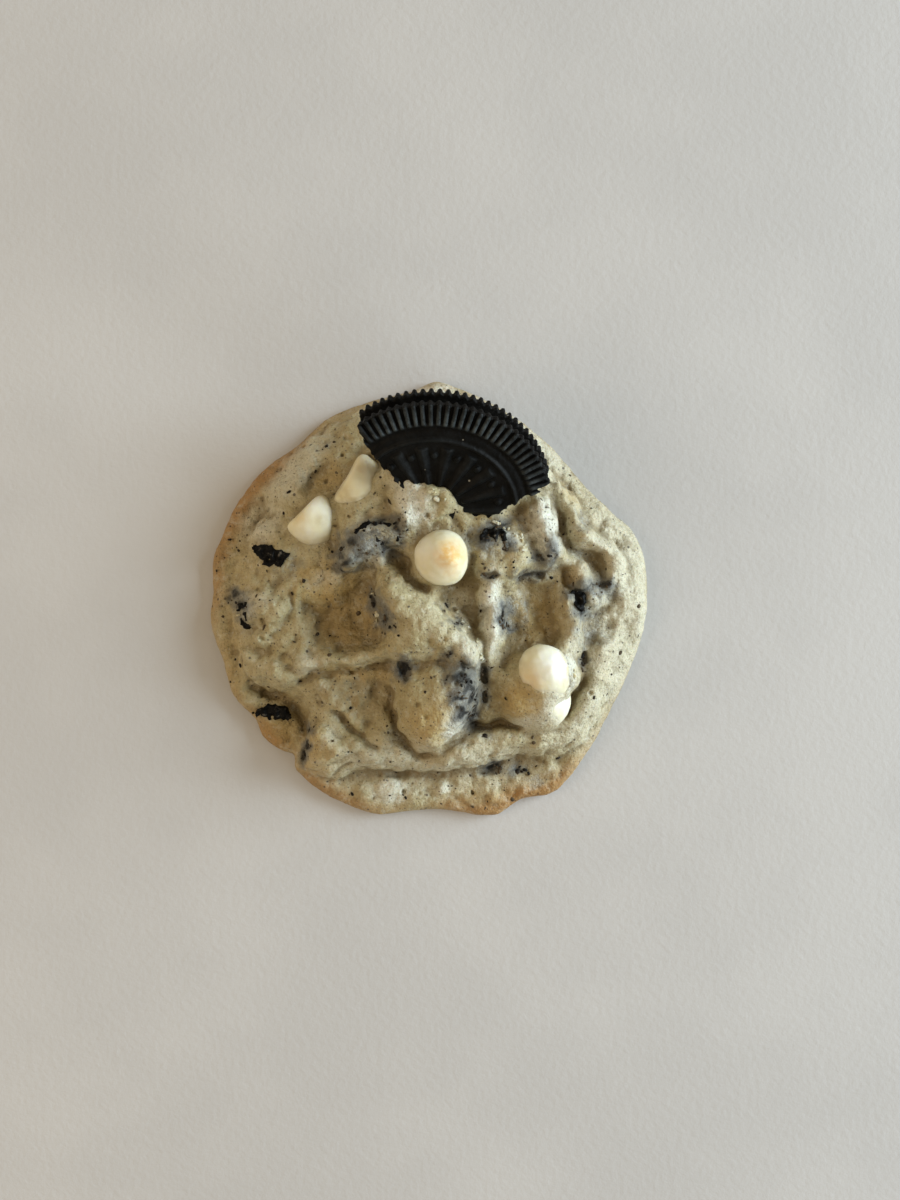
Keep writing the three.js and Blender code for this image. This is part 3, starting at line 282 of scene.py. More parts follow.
# The sandwich biscuit, in the front wafer's own plane.
WAFER_RADIUS = 22.3
WAFER_TEETH = 90
TOOTH_DEPTH = 0.5
WAFER_THICKNESS = 1.75
FACE_RISE = 0.55
RELIEF = 0.7
RIB_START = 17.9
RIB_RISE = 0.45
RIB_DEPTH = 0.7
MOAT_DEPTH = 0.35
MOAT_WIDTH = 0.55
RING_RADIUS = 15.4
PIP_CIRCLE = 12.2
HUB_RADIUS = 4.2
RAY_COUNT = 18
RAY_START = 5.6
RAY_END = 13.8
CREAM_THICKNESS = 1.7
CREAM_RADIUS = 19.8
CREAM_INSET = 0.8
PIECE_GAP = 0.25
BACK_TOP = -WAFER_THICKNESS - 2 * PIECE_GAP - CREAM_THICKNESS
BISCUIT_CENTRE = (1.2, 17.0, 15.0)
BISCUIT_LEAN = 41
BISCUIT_TURN = 1.5
WEDGE = [
    (-19, 33), (-14.2, 18.4), (-12.6, 14), (-9.6, 9.6), (-6.2, 5.6), (-3.2, 3.2), (0.2, 2.8), (1.6, 0.8),
    (3, -2.4), (5, -3.6), (8.6, -2.6), (12.4, -0.3), (18, 3.8), (21.8, 6.1), (36, 15), (22, 36),
]

# Chunks of dark biscuit: name, height of the top, thickness, lean, heading, and outline.
CHUNKS = [
    ("biscuit_chunk_left", 9.6, 3, 20, 185, [(-34.8, 10), (-30.8, 10.3), (-26.2, 8.6), (-28.4, 5.4),
        (-31.8, 6.4)]),
    ("biscuit_chunk_upper", 16, 3, 4, -70, [(-14.4, 12.2), (-11.4, 14.4), (-4.9, 14), (-5.2, 10.8),
        (-9.4, 9.2), (-14, 8.6)]),
    ("biscuit_chunk_edge", 4.4, 2.2, 6, 200, [(-35.6, -22.9), (-31.6, -20.9), (-28.4, -21), (-26.2, -24.2),
        (-30, -24.2)]),
    ("biscuit_chunk_speckled", 7.9, 3, 38, 185, [(-37.6, -1.2), (-34.6, -0.6), (-33.4, -3.8), (-35, -6.6),
        (-37.2, -4.6)]),
    ("biscuit_chunk_top", 15.8, 3, 12, 120, [(9.4, 10.6), (10.6, 13.2), (14.4, 13.4), (15.2, 10.2),
        (12, 9.4)]),
    ("biscuit_chunk_right", 11.5, 3, 14, 60, [(27.2, 1.4), (29.9, 2.2), (31, 0.4), (29.8, -2.7),
        (27.8, -1.2)]),
    ("biscuit_chunk_lump", 16.6, 2.6, 47, -20, [(6.9, -15.2), (8.9, -15.2), (9.4, -18), (8.6, -20.6),
        (7.4, -21.2), (6.6, -18)]),
]

# The larger dark crumbs: x, y, radius. The ball for each has a share of that radius before it is stretched.
CRUMBS = [
    (-37, -13.3, 1), (-39.2, -16.6, 0.7), (-18.5, -10.7, 0.8), (-21.2, -6.9, 0.8), (-5.5, -6.9, 0.7),
    (-13.4, -3, 0.9), (-31.4, -5.7, 0.9), (-19.6, 29.4, 0.9), (-26.8, 20.4, 0.8), (-7, 18, 0.9),
    (28, 24.2, 0.8), (11, -26.2, 1.2), (20.4, -28, 0.8), (25.6, -31.6, 0.9), (32, -19.1, 0.7),
    (34.9, -18.9, 0.8), (37.6, -10.8, 1), (41.2, -1.6, 0.8), (21.4, -36.6, 0.9), (16.6, -39.9, 1),
    (-22, -27, 0.9), (-10.3, -1.4, 1.1), (-8, -3.9, 1.1), (17.6, -34.3, 0.9), (-23.6, 3.2, 0.8),
    (14.4, -3.2, 1.1),
]
CRUMB_SHARE = 0.62
# How many fine crumbs lie all over the dough, and the least and one more than the most by each dark spot.
FINE_CRUMBS = 1000
CRUMBS_BY_DARK = (3, 8)
# How deep the middle of a crumb lies in the dough, for its size.
CRUMB_SINK = 0.22

# Torn edges of dough that carry thin pale flakes: number of flakes, and the line they stand along.
TORN_EDGES = [
    (7, [(-5.6, 24.6), (-4.2, 23.4), (-2.4, 22.3)]), (6, [(-1, 20.6), (1.8, 19), (4.2, 17.6)]),
    (5, [(6.2, 17.9), (7.4, 17)]), (14, [(12.6, 14.5), (14.6, 13.2), (16.6, 12), (18, 10.9)]),
    (6, [(17.9, 10.8), (18.4, 8.4)]), (8, [(3.6, -0.4), (5.4, -2.2), (7.4, -5.2), (9.6, -8.2)]),
    (5, [(9.4, -8.6), (10.4, -12)]), (5, [(-10.6, 2), (-9.4, -5)]), (5, [(27.6, -12.4), (27.2, -16.6)]),
    (4, [(-37.2, -2.4), (-34.8, -6.8)]),
]
# Crumbs and flakes are turned by any angle between these, in radians.
ANY_TURN = (0, 6.28)

# Voxel sizes, and the grid of the height map with the width it is smoothed over.
DOUGH_VOXEL = 0.34
WAFER_VOXEL = 0.19
CREAM_VOXEL = 0.3
CHIP_VOXEL = 0.22
CHUNK_VOXEL = 0.22
MAP_LOW = (-48.0, -48.0)
MAP_HIGH = (49.0, 48.0)
MAP_STEP = 0.25
MAP_SOFTNESS = 0.3

# ---- where the colours lie

# How brown the rim is, by angle: (angle in degrees, strength from 0 to 1).
RIM_BROWNING = [
    (0, 0.05), (40, 0.08), (70, 0.25), (105, 0.3), (125, 0.45), (143, 0.95), (160, 0.85), (178, 0.65),
    (190, 0.3), (205, 0.25), (214, 0.45), (222, 0.85), (230, 0.35), (237, 0.75), (250, 0.75), (258, 0.45),
    (268, 0.15), (278, 0.8), (290, 1), (298, 1), (306, 0.9), (316, 0.4), (330, 0.2), (345, 0.06),
]
# A place is hollow, or in a crease, where it lies below the dough averaged over these widths; there the dough
# is darkened with painted shade.
HOLLOW_WIDTH = 3.2
CREASE_WIDTH = 0.9
# Waves move the edges of painted patches about: how far, size and number of waves, and a seed for each axis.
PATCH_SHAKE = 0.45
PATCH_WAVES = (2.4, 24)
PATCH_SEEDS = (5, 6, 7)
# Painted patches on the dough: x, y, half length, half width, turn, strength.
GOLDEN = [
    (1, -24.5, 4.6, 5.2, 0, 0.75), (18.8, -19.2, 4.4, 3.2, 0, 1), (24, -21, 3.2, 3.8, 0, 0.5),
    (-20, 2.6, 5.2, 3.8, 0, 0.8), (31.8, 7.6, 3, 2.4, -30, 0.7), (27.2, 3.8, 1.8, 2.2, -40, 0.7),
    (27.4, 20.6, 1.2, 4, 35, 0.6), (31.6, 14.2, 1.8, 1.6, 0, 0.4), (-30, -27, 3.6, 3.4, 0, 0.7),
    (-21, -30, 4, 5, 0, 0.65), (-19, 23, 3, 2.4, 40, 0.4), (21.5, -3.4, 6, 5, 0, 0.45),
    (17.6, 13.6, 3, 3.6, 0, 0.45), (-16, -4, 7, 6, 0, 0.35), (34, -13, 2, 4, 20, 0.25),
    (12, -38.5, 8, 2.2, 0, 0.5), (-35, 9, 3.4, 9, 0, 0.2), (-38.5, -10, 2.2, 9, 0, 0.35),
    (6.6, -2, 2.8, 3, 0, 0.35), (-14, -14.4, 7, 1.4, 0, 0.5),
]
# Painted shade: patches that darken the left hollow, the basin and other low ground, added to the shade
# painted in every hollow.
SHADED_HOLLOWS = [
    (-16, -4.4, 7.6, 5.6, 0, 0.75), (21, -3.4, 6, 5, 0, 0.6), (-14, -18, 8, 4, -20, 0.45),
    (26, 4.4, 2, 1.6, -40, 0.6), (-20, 22.4, 4.4, 2.6, 40, 0.4), (18, 14.6, 2.6, 3.2, 0, 0.4),
    (16, -21, 5, 3, 0, 0.35),
]
# Paler dough in places, but mostly painted light: patches that lighten the lit right side, crests and slopes
# that face the light.
PALE_AND_LIT = [
    (40, 0, 13, 30, 0, 0.42), (20, 34, 16, 9, -42, 0.5), (30, -22, 10, 9, 0, 0.3),
    (-7.4, -37.8, 3.4, 3, 0, 0.8), (3.2, -37.2, 1.9, 1.7, 0, 0.7), (17.3, -34.1, 2.4, 1, 25, 0.6),
    (1.2, 41.2, 4, 1.6, 0, 0.9), (-2.6, 17.8, 2.8, 5.6, 25, 1), (22.6, 13.2, 3.4, 6, 0, 1),
    (12, -3, 2.2, 8, 0, 0.92), (7.6, -8.6, 3, 2.6, -40, 0.5), (5.8, -25, 2.6, 3.8, 0, 1),
    (2, -33, 22, 6, 0, 0.35), (-9, 7.2, 1.8, 1.8, 0, 0.5), (2, -4, 4.4, 3.4, -40, 0.12),
    (9.4, -15, 1.2, 5, 0, 0.5), (15.6, 11.4, 2.6, 1.2, -35, 0.7), (-33, -0.8, 3.4, 1.8, 0, 0.4),
    (-22.6, -12.4, 2.8, 2.2, 0, 0.35), (27.4, -12, 1.8, 5, 0, 0.45), (38.6, 6, 3.4, 9, 0, 0.45),
    (25.6, 28, 2.4, 6, 42, 0.5), (-18.4, -27, 1.4, 2.6, 0, 0.3), (31, -20, 4, 6, -30, 0.35),
    (26.8, -14.4, 1.4, 4.2, 0, 0.9), (24.2, -20.6, 2.8, 3.8, 0, 0.6), (-33, 15, 4.4, 4.4, 0, 0.6),
    (20, -23.4, 4, 1.6, 10, 0.5), (41.5, -3, 1.6, 8, 0, 0.5), (33, 10.4, 3.2, 1, -25, 0.5),
    (7.2, -1.6, 2.2, 3.6, 0, 0.8), (-19.4, 3.8, 3.2, 1.8, 10, 0.35), (-26, 24.6, 4, 8, -45, 0.5),
]
SMUDGES = [
    (-10.5, 10.2, 6, 3.8, 25, 1), (-16.2, 8.6, 2.2, 3.4, 0, 0.9), (-27.4, 6.4, 3, 2.2, 0, 0.6),
    (-35.2, -3.6, 2.2, 2.8, 0, 0.8), (11.4, 10.6, 4.4, 3.2, 20, 0.8), (22.4, 9.2, 2.8, 4.2, 0, 0.65),
    (31.5, 1.6, 4.8, 2.4, -5, 0.75), (31.4, -5.4, 3.6, 4, 0, 0.55), (14.6, -3.4, 1.6, 3.6, 0, 0.85),
    (10.7, -2.6, 0.8, 3, 0, 0.4), (17, -2.2, 2.4, 3.6, 0, 0.6), (7, -17.4, 3.4, 6.4, 0, 0.85),
    (-8.6, -2.8, 1.7, 3.4, 0, 0.8), (-4.8, -13.2, 2.4, 1.8, -60, 0.9), (29.6, 7.6, 3.6, 1.6, -45, 0.45),
    (16.2, -34, 3, 1.2, 20, 0.6), (12.8, -33.2, 1.8, 1.4, 30, 0.8), (29.6, 14.6, 1.4, 2.4, 30, 0.5),
    (4.6, -12.6, 2.6, 1.6, 0, 0.5), (-19.4, 29.6, 2, 1.2, 0, 0.5), (18.6, 14.4, 2.4, 3, 0, 0.4),
    (11.2, -26.2, 1.6, 1.2, 0, 0.6), (-35.6, 0.2, 1.6, 1.4, 0, 0.6), (21.2, -36.6, 1.4, 1.2, 0, 0.4),
]
DARK = [
    (-14.1, 10.4, 1.5, 1.3, 0, 0.9), (-15.4, 6.4, 1.5, 0.9, 10, 0.9), (-16.1, 8.2, 0.7, 0.8, 0, 0.8),
    (-9.4, 14.2, 2, 0.5, 5, 0.8), (-5.4, 13.1, 0.9, 1.5, 0, 0.9), (-7.6, 9.6, 1.5, 0.8, -10, 0.8),
    (-5, 10.8, 0.5, 1.2, 0, 0.7), (-36.6, -1.4, 1.4, 1, 20, 0.8), (-37.8, 0.6, 1.3, 0.8, 20, 0.9),
    (10.8, 11.2, 1.4, 1, 20, 1), (13.4, 13.4, 1.5, 0.7, 30, 0.9), (11.8, 12.4, 1.8, 0.6, 40, 0.8),
    (15.2, 10, 0.6, 0.7, 0, 0.9), (21.6, 7.6, 1.1, 0.6, -20, 0.9), (23.4, 8.4, 0.35, 1.4, 0, 0.95),
    (28.8, 1, 1.6, 0.9, 20, 0.95), (31.4, 2.2, 1.6, 0.45, 10, 0.8), (34.2, 2.6, 1.6, 0.9, -20, 0.9),
    (29.6, -2.7, 1, 0.8, 0, 0.95), (28.2, -1, 0.8, 1, 0, 0.7), (-10.3, -0.9, 0.7, 1.5, 0, 0.95),
    (-8, -3.9, 0.8, 1.1, 20, 0.95), (-6.6, -5.4, 0.9, 0.4, -20, 0.8), (14.4, -2.2, 1, 1.2, 0, 0.85),
    (14.2, -4.4, 0.8, 1, 0, 0.8), (15.6, -5.7, 1.1, 0.45, 0, 0.85), (6.2, -14.8, 1.9, 1.5, 0, 0.95),
    (7.8, -16.4, 1.1, 1.4, 0, 0.9), (6, -18.2, 1.2, 0.7, 30, 0.95), (8.5, -18.4, 0.8, 1.4, -20, 0.95),
    (6.7, -21.3, 1, 1.1, 0, 1), (8.2, -23.2, 0.7, 1.5, 10, 0.85), (4, -10.9, 0.7, 0.8, 0, 0.8),
    (7, -13, 0.7, 1, 0, 0.9), (3.9, -14.8, 0.6, 1, 0, 0.75), (9, -20.8, 0.4, 2, 0, 0.9),
    (-4.4, -13.4, 0.8, 1.7, -28, 1), (12.6, -33.4, 1.5, 0.7, 28, 0.95), (17.6, -34, 1.2, 0.4, 20, 0.8),
    (-22.9, -25.6, 0.5, 0.7, 0, 0.9), (-23.5, -28.7, 0.5, 1.1, -20, 0.9), (-24.4, -31, 0.4, 1.2, -5, 0.9),
    (30, -11.4, 0.35, 1.2, 0, 0.85), (10.8, -14, 0.6, 1.4, 10, 0.8), (10.9, -19, 0.35, 1.2, 5, 0.8),
    (11.9, 4.1, 0.9, 0.6, 0, 0.8), (19.6, 4.4, 2.2, 0.5, 5, 0.85), (9.8, 4.6, 0.5, 0.4, 0, 0.5),
    (5.7, -4.8, 1, 0.35, -10, 0.8), (3.6, -1.4, 0.4, 0.5, 0, 0.6),
]
# Spots on the chips, toasted, whiter, or smeared with dough: x, y, radius, strength.
CHIP_TOAST = {
    "white_chip_centre": [(4.4, 8, 4.2, 1), (4.4, 4.8, 2.4, 0.4)],
    "white_chip_right": [(18.6, -16.6, 5, 0.4)],
    "white_chip_low_right": [(18.4, -20, 4.4, 0.9), (23, -20.6, 1.4, 0.6)],
    "white_chip_left": [(-24.6, 15.6, 2.4, 0.3)],
    "white_chip_tall": [(-12.6, 25, 2.6, 0.2)],
}
CHIP_BLOOM = {
    "white_chip_right": [(23.4, -12.6, 4.6, 1)],
    "white_chip_centre": [(-1, 10, 3.2, 0.6)],
    "white_chip_left": [(-21.6, 17.4, 3.4, 0.5)],
    "white_chip_low_right": [(24.6, -19.6, 2.6, 0.5)],
}
CHIP_SMEARS = {
    "white_chip_low_right": [(17.4, -20.6, 4.2, 0.9), (21.6, -22.4, 4.6, 0.75)],
    "white_chip_right": [(17.6, -12.6, 1.8, 0.5), (26, -16, 1.6, 0.6)],
    "white_chip_centre": [(-2.4, 10.4, 2, 0.6)],
    "white_chip_left": [(-20, 14.6, 1.8, 0.5)],
    "white_chip_tall": [(-16.4, 19.4, 3.2, 0.7)],
}

# ---- colours

def glow_inside(weight, radius):
    """Shader values for light that travels under the skin: how far for red, green and blue, in metres."""
    return {"Subsurface Weight": weight, "Subsurface Radius": radius, "Subsurface Scale": 1.0}


# Two shades of each thing, in soft clouds. All colours are red, green and blue in linear light.
SHADES = {
    "dough": ((0.405, 0.345, 0.188), (0.48, 0.425, 0.262)),
    "biscuit": ((0.0012, 0.0012, 0.0012), (0.0045, 0.0044, 0.0043)),
    "chip": ((0.725, 0.685, 0.49), (0.765, 0.74, 0.595)),
}
# What each mask on the dough is painted with, from the lowest coat up: hollow is painted shade, and pale is
# paler dough that is mostly painted light on slopes that face the light.
DOUGH_COATS = {
    "hollow": (0.20, 0.132, 0.045), "golden": (0.44, 0.31, 0.11), "pale": (0.68, 0.68, 0.585),
    "browned": (0.37, 0.200, 0.062),
}
# Painted shade in the creases.
CREASE_SHADE = (0.16, 0.115, 0.05)
MOTTLE_BROWN = (0.24, 0.185, 0.085)
MOTTLE_CREAM = (0.60, 0.585, 0.48)
GRAIN_BROWN = (0.20, 0.155, 0.075)
SMUDGE_GREY = (0.170, 0.168, 0.145)
FROST_GREY = (0.47, 0.49, 0.46)
SMEAR_BLACK = (0.045, 0.046, 0.044)
HAZE_GREY = (0.120, 0.124, 0.118)
DARK_BLACK = (0.018, 0.0185, 0.019)
SPECK_BROWN = (0.055, 0.042, 0.026)
# Specks in the dough, at three sizes: how many to a metre, largest size in its cell, strength.
DOUGH_SPECKS = [(700, 0.24, 0.85), (1400, 0.30, 0.7), (2600, 0.32, 0.55)]
# Lighter grey on the biscuit's raised ribs and relief: partly wear, partly a painted highlight where the
# light catches them.
WORN_AND_LIT_GREY = (0.078, 0.094, 0.102)
DUST = (0.19, 0.17, 0.14)
PALE_GRAIN = (0.42, 0.40, 0.34)
TOAST_BROWN = (0.70, 0.44, 0.15)
BLOOM_WHITE = (0.90, 0.93, 0.87)
CHIP_DOUGH = (0.52, 0.44, 0.25)

# Plain materials: two shades, noise of the clouds, the steps between the shades, shader values, and the noise
# and distance of the bump, in metres.
PLAIN = {
    "dark_crumb": (
        ((0.010, 0.0085, 0.007), (0.085, 0.060, 0.034)), (350, 3), (0.40, 0.62),
        {"Roughness": 0.6, "Specular IOR Level": 0.2}, (2500, 4), 0.00008),
    "cream_filling": (
        ((0.80, 0.77, 0.68), (0.62, 0.59, 0.52)), (500, 4), (0.4, 0.7), {"Roughness": 0.5}, (700, 4), 0.0002),
    "dough_flake": (
        ((0.66, 0.63, 0.50), (0.46, 0.41, 0.26)), (900, 4), (0.35, 0.65),
        {"Roughness": 0.5, **glow_inside(0.3, (0.001, 0.0007, 0.0004))}, (1500, 4), 0.0001),
    "pale_floor": (
        ((0.515, 0.515, 0.525), (0.555, 0.555, 0.565)), (16, 5, 0.6), (0.35, 0.65), {"Roughness": 0.75},
        (700, 4), 0.00008),
}

# ---- camera and lights

CAMERA_PLACE = (4.3, -0.4, 240.0)
CAMERA_LENS = 36
CAMERA_SENSOR = 36
ROOM_COLOUR = (1.0, 0.82, 0.56, 1)
ROOM_STRENGTH = 0.36
# Square lights that face the cookie: name, place in metres, size, power, colour.
LIGHTS = [
    ("window", (0.95, 0.25, 0.36), 0.64, 16.8, (0.80, 0.93, 1.0)),
    ("low_window", (0.62, -0.42, 0.24), 0.40, 1.8, (0.80, 0.93, 1.0)),
    ("warm_fill", (-0.5, -0.05, 0.4), 0.5, 1.5, (1.0, 0.80, 0.58)),
]


# ---- small maths

def smooth_between(low, high, value):
    """0 below low, 1 above high, and a soft step between them."""
    t = np.clip((value - low) / (high - low), 0, 1)
    return t * t * (3 - 2 * t)


def waves(points, size, count, seed):
    """Soft noise near -1 to 1: many plane waves about one size long, each in a direction of its own."""
    rng = np.random.default_rng(seed)
    total = np.zeros(points.shape[:-1], dtype=np.float32)
    for _ in range(count):
        direction = rng.normal(size=3)
        direction /= np.linalg.norm(direction)
        step = 2 * math.pi / (size * rng.uniform(0.7, 1.5))
        phase = np.float32(rng.uniform(0, 2 * math.pi))
        total += np.cos(points @ (direction * step).astype(np.float32) + phase)
    return total * math.sqrt(2 / count) * 0.6


def roughness(points, layers):
    """Waves of several sizes, added up: each layer is (height, size, number of waves, seed)."""
    return sum(height * waves(points, size, count, seed) for height, size, count, seed in layers)


def radius_at(table, degrees):
    """The radius that a table of (angle, radius) gives at each angle, on a smooth closed curve."""
    angles = np.array([pair[0] for pair in table], dtype=float)
    radii = np.array([pair[1] for pair in table], dtype=float)
    angles = np.concatenate([angles[-2:] - 360, angles, angles[:2] + 360])
    radii = np.concatenate([radii[-2:], radii, radii[:2]])
    a = np.mod(degrees, 360)
    i = np.clip(np.searchsorted(angles, a, side="right") - 1, 1, len(angles) - 3)
    span = angles[i + 1] - angles[i]
    t = (a - angles[i]) / span
    slope_here = (radii[i + 1] - radii[i - 1]) / (angles[i + 1] - angles[i - 1]) * span
    slope_next = (radii[i + 2] - radii[i]) / (angles[i + 2] - angles[i]) * span
    bend = t * t * (3 - 2 * t)
    return (radii[i] * (1 - bend) + radii[i + 1] * bend
            + slope_here * t * (1 - t) ** 2 - slope_next * t * t * (1 - t))


def angle_of(x, y):
    return np.degrees(np.arctan2(y, x))


def offset_from_side(x, y, a, b):
    """How far each place lies from the nearest point between a and b, in x and in y."""
    dx, dy = b[0] - a[0], b[1] - a[1]
    t = np.clip(((x - a[0]) * dx + (y - a[1]) * dy) / (dx * dx + dy * dy), 0, 1)
    return x - a[0] - t * dx, y - a[1] - t * dy


def line_distance(x, y, line):
    """Distance to a line through a row of points."""
    best = np.full(x.shape, np.inf)
    for a, b in zip(line, line[1:]):
        best = np.minimum(best, np.hypot(*offset_from_side(x, y, a, b)))
    return best


def is_inside(x, y, outline):
    """Whether a place lies inside a polygon: from there, a ray crosses an odd number of its sides."""
    inside = np.zeros(x.shape, dtype=bool)
    for (ax, ay), (bx, by) in zip(outline, outline[1:] + outline[:1]):
        if ay != by:
            inside ^= ((ay > y) != (by > y)) & (x < ax + (y - ay) * (bx - ax) / (by - ay))
    return inside


def polygon_distance(x, y, outline):
    """Distance to a polygon's sides, negative inside."""
    distance = line_distance(x, y, outline + outline[:1])
    return np.where(is_inside(x, y, outline), -distance, distance)


def segment_distance(points, a, b):
    """Distance in space to the nearest point between a and b."""
    a, b = np.array(a, dtype=np.float32), np.array(b, dtype=np.float32)
    along = b - a
    t = np.clip((points - a) @ along / (along @ along), 0, 1)
    return np.linalg.norm(points - a - t[..., None] * along, axis=-1)


def turned(degrees, axis):
    return Matrix.Rotation(math.radians(degrees), 4, axis)


def transformed(points, matrix):
    m = np.array(matrix)
    return points @ m[:3, :3].T + m[:3, 3]


# ---- height of the dough

def rounded(outline):
    """The outline with each corner cut off, a quarter of the way along its sides."""
    here = np.array(outline, dtype=float)
    after = np.roll(here, -1, axis=0)
    cut = np.stack([0.75 * here + 0.25 * after, 0.25 * here + 0.75 * after], axis=1)
    return [tuple(point) for point in cut.reshape(-1, 2)]


def depth_inside(x, y, outline):
    """How deep a place lies inside an outline: 0 outside, and soft where the nearest side changes."""
    total = np.zeros(x.shape)
    for a, b in zip(outline, outline[1:] + outline[:1]):
        across, up = offset_from_side(x, y, a, b)
        total += np.maximum(across ** 2 + up ** 2, 1e-6) ** -1.5
    return np.where(is_inside(x, y, outline), total ** (-1 / 3), 0)


def mound_height(x, y):
    """The plain mound: a skirt, a body with a rounded shoulder, and a low crown."""
    r = np.hypot(x, y)
    degrees = angle_of(x, y)
    to_rim = np.clip((radius_at(OUTLINE, degrees) - r) / SKIRT_ROUNDING, 0, 1)
    to_body = np.clip((radius_at(BODY_EDGE, degrees) - r) / SHOULDER_WIDTH, 0, 1)
    skirt = SKIRT_EDGE_HEIGHT + (SKIRT_HEIGHT - SKIRT_EDGE_HEIGHT) * np.sqrt(1 - (1 - to_rim) ** 2)
    crown = CROWN_HEIGHT * np.maximum(1 - (r / CROWN_RADIUS) ** 2, 0)
    body = SHOULDER_FOOT + SHOULDER_HEIGHT * (1 - (1 - to_body) ** 2) + crown
    return np.where(to_body > 0, np.maximum(skirt, body), skirt)


def wander(x, y):
    """Moves a place a little, so that no edge in the dough runs straight."""
    wx = x + 0.4 * np.sin(0.50 * y + 0.9) + 0.16 * np.sin(1.15 * y - 0.6 * x + 2.1)
    wy = y + 0.4 * np.sin(0.46 * x + 2.3) + 0.16 * np.sin(1.07 * x + 0.7 * y + 0.4)
    return wx, wy


def unevenness(x, y):
    """Broad, shallow waves over all the dough."""
    return (0.28 * np.sin(0.52 * x + 0.25 * y + 1.0) * np.sin(0.47 * y - 0.30 * x + 0.3)
            + 0.12 * np.sin(1.05 * x - 0.45 * y + 2.0) * np.sin(0.95 * y + 0.40 * x + 1.2))


def raw_height(x, y):
    """The mound with its areas, rolls, creases and lumps."""
    z = mound_height(x, y)
    x, y = wander(x, y)
    for lift, edge, outline in AREAS:
        inside = np.minimum(depth_inside(x, y, rounded(outline)) / edge, 1)
        z = z + lift * np.sin(inside * math.pi / 2)
    for lift, half_width, line in RIDGES:
        near = np.clip(line_distance(x, y, line) / half_width, 0, 1)
        z = z + lift * np.cos(near * math.pi / 2)
    for depth, width, line in CREASES:
        near = np.clip(line_distance(x, y, line) / width, 0, 1)
        z = z - depth * (1 - near) ** 2
    for cx, cy, radius, lift in LUMPS:
        near = np.clip(np.hypot(x - cx, y - cy) / radius, 0, 1)
        z = z + lift * (1 - near ** 2) ** 1.5
    z = z + unevenness(x, y)
    return np.maximum(z, SKIRT_EDGE_HEIGHT)


def blurred(values, sigma, voxel):
    """A height map smoothed over sigma millimetres."""
    reach = int(3 * sigma / voxel)
    kernel = np.exp(-(np.arange(-reach, reach + 1) * voxel / sigma) ** 2 / 2)
    kernel /= kernel.sum()
    for axis in (0, 1):
        padded = np.pad(values, [(reach, reach) if k == axis else (0, 0) for k in (0, 1)], mode="edge")
        values = np.apply_along_axis(np.convolve, axis, padded, kernel, "valid")
    return values


def sample_map(values, x, y, low, voxel):
    """A map's value at each place, blended from the four corners of its square."""
    i = np.clip((x - low[0]) / voxel, 0, values.shape[0] - 1.01)
    j = np.clip((y - low[1]) / voxel, 0, values.shape[1] - 1.01)
    a, b = i.astype(int), j.astype(int)
    s, t = i - a, j - b
    return (values[a, b] * (1 - s) * (1 - t) + values[a + 1, b] * s * (1 - t)
            + values[a, b + 1] * (1 - s) * t + values[a + 1, b + 1] * s * t)


def height_map():
    """The dough's height over a square grid, a little smoothed."""
    sides = [np.arange(low, high, MAP_STEP) for low, high in zip(MAP_LOW, MAP_HIGH)]
    return blurred(raw_height(*np.meshgrid(*sides, indexing="ij")), MAP_SOFTNESS, MAP_STEP)


HEIGHTS = height_map()


def dough_height(x, y):
    return sample_map(HEIGHTS, x, y, MAP_LOW, MAP_STEP)


def height_at(x, y):
    return dough_height(np.array([float(x)]), np.array([float(y)]))[0]


def surface_normal(x, y):
    step = 0.3
    dx = (dough_height(x + step, y) - dough_height(x - step, y)) / (2 * step)
    dy = (dough_height(x, y + step) - dough_height(x, y - step)) / (2 * step)
    normal = np.stack([-dx, -dy, np.ones_like(dx)], axis=-1)
    return normal / np.linalg.norm(normal, axis=-1, keepdims=True)


# ---- fields and meshes

def grid_points(low, high, voxel):
    """The corners of a voxel grid, as one array of x, y, z."""
    axes = [np.arange(a, b + voxel, voxel, dtype=np.float32) for a, b in zip(low, high)]
    return np.stack(np.meshgrid(*axes, indexing="ij"), axis=-1)


def slab_grid(low, high, voxel):
    """The points of a voxel grid, x and y of its upright columns, and z of each point."""
    points = grid_points(low, high, voxel)
    return points, points[:, :, 0, 0], points[:, :, 0, 1], points[..., 2]


def field_surface(field, low, voxel):
    """Vertices and quads of the surface where a field, negative inside, crosses zero."""
    band = 3 * voxel
    grid = openvdb.FloatGrid(band)
    grid.copyFromArray(np.clip(field, -band, band).astype(np.float32))
    points, quads = grid.convertToQuads(0.0)
    return points * voxel + np.array(low, dtype=np.float32), quads[:, ::-1]


def smooth_union(a, b, blend):
    """Union of two fields, with a fillet where they meet."""
    share = np.clip(0.5 + 0.5 * (b - a) / blend, 0, 1)
    return b + (a - b) * share - blend * share * (1 - share)


def make_object(name, points, faces):
    """A smooth shaded Blender object from points in millimetres."""
    mesh = bpy.data.meshes.new(name)
    faces = np.asarray(faces, dtype=np.int32)
    sides = faces.shape[1]
    mesh.vertices.add(len(points))
    mesh.vertices.foreach_set("co", (np.asarray(points, dtype=np.float32) * MM).ravel())
    mesh.loops.add(faces.size)
    mesh.loops.foreach_set("vertex_index", faces.ravel())
    mesh.polygons.add(len(faces))
    mesh.polygons.foreach_set("loop_start", np.arange(0, faces.size, sides, dtype=np.int32))
    mesh.polygons.foreach_set("loop_total", np.full(len(faces), sides, dtype=np.int32))
    mesh.update(calc_edges=True)
    mesh.validate()
    mesh.polygons.foreach_set("use_smooth", np.full(len(mesh.polygons), True))
    piece = bpy.data.objects.new(name, mesh)
    bpy.context.collection.objects.link(piece)
    return piece


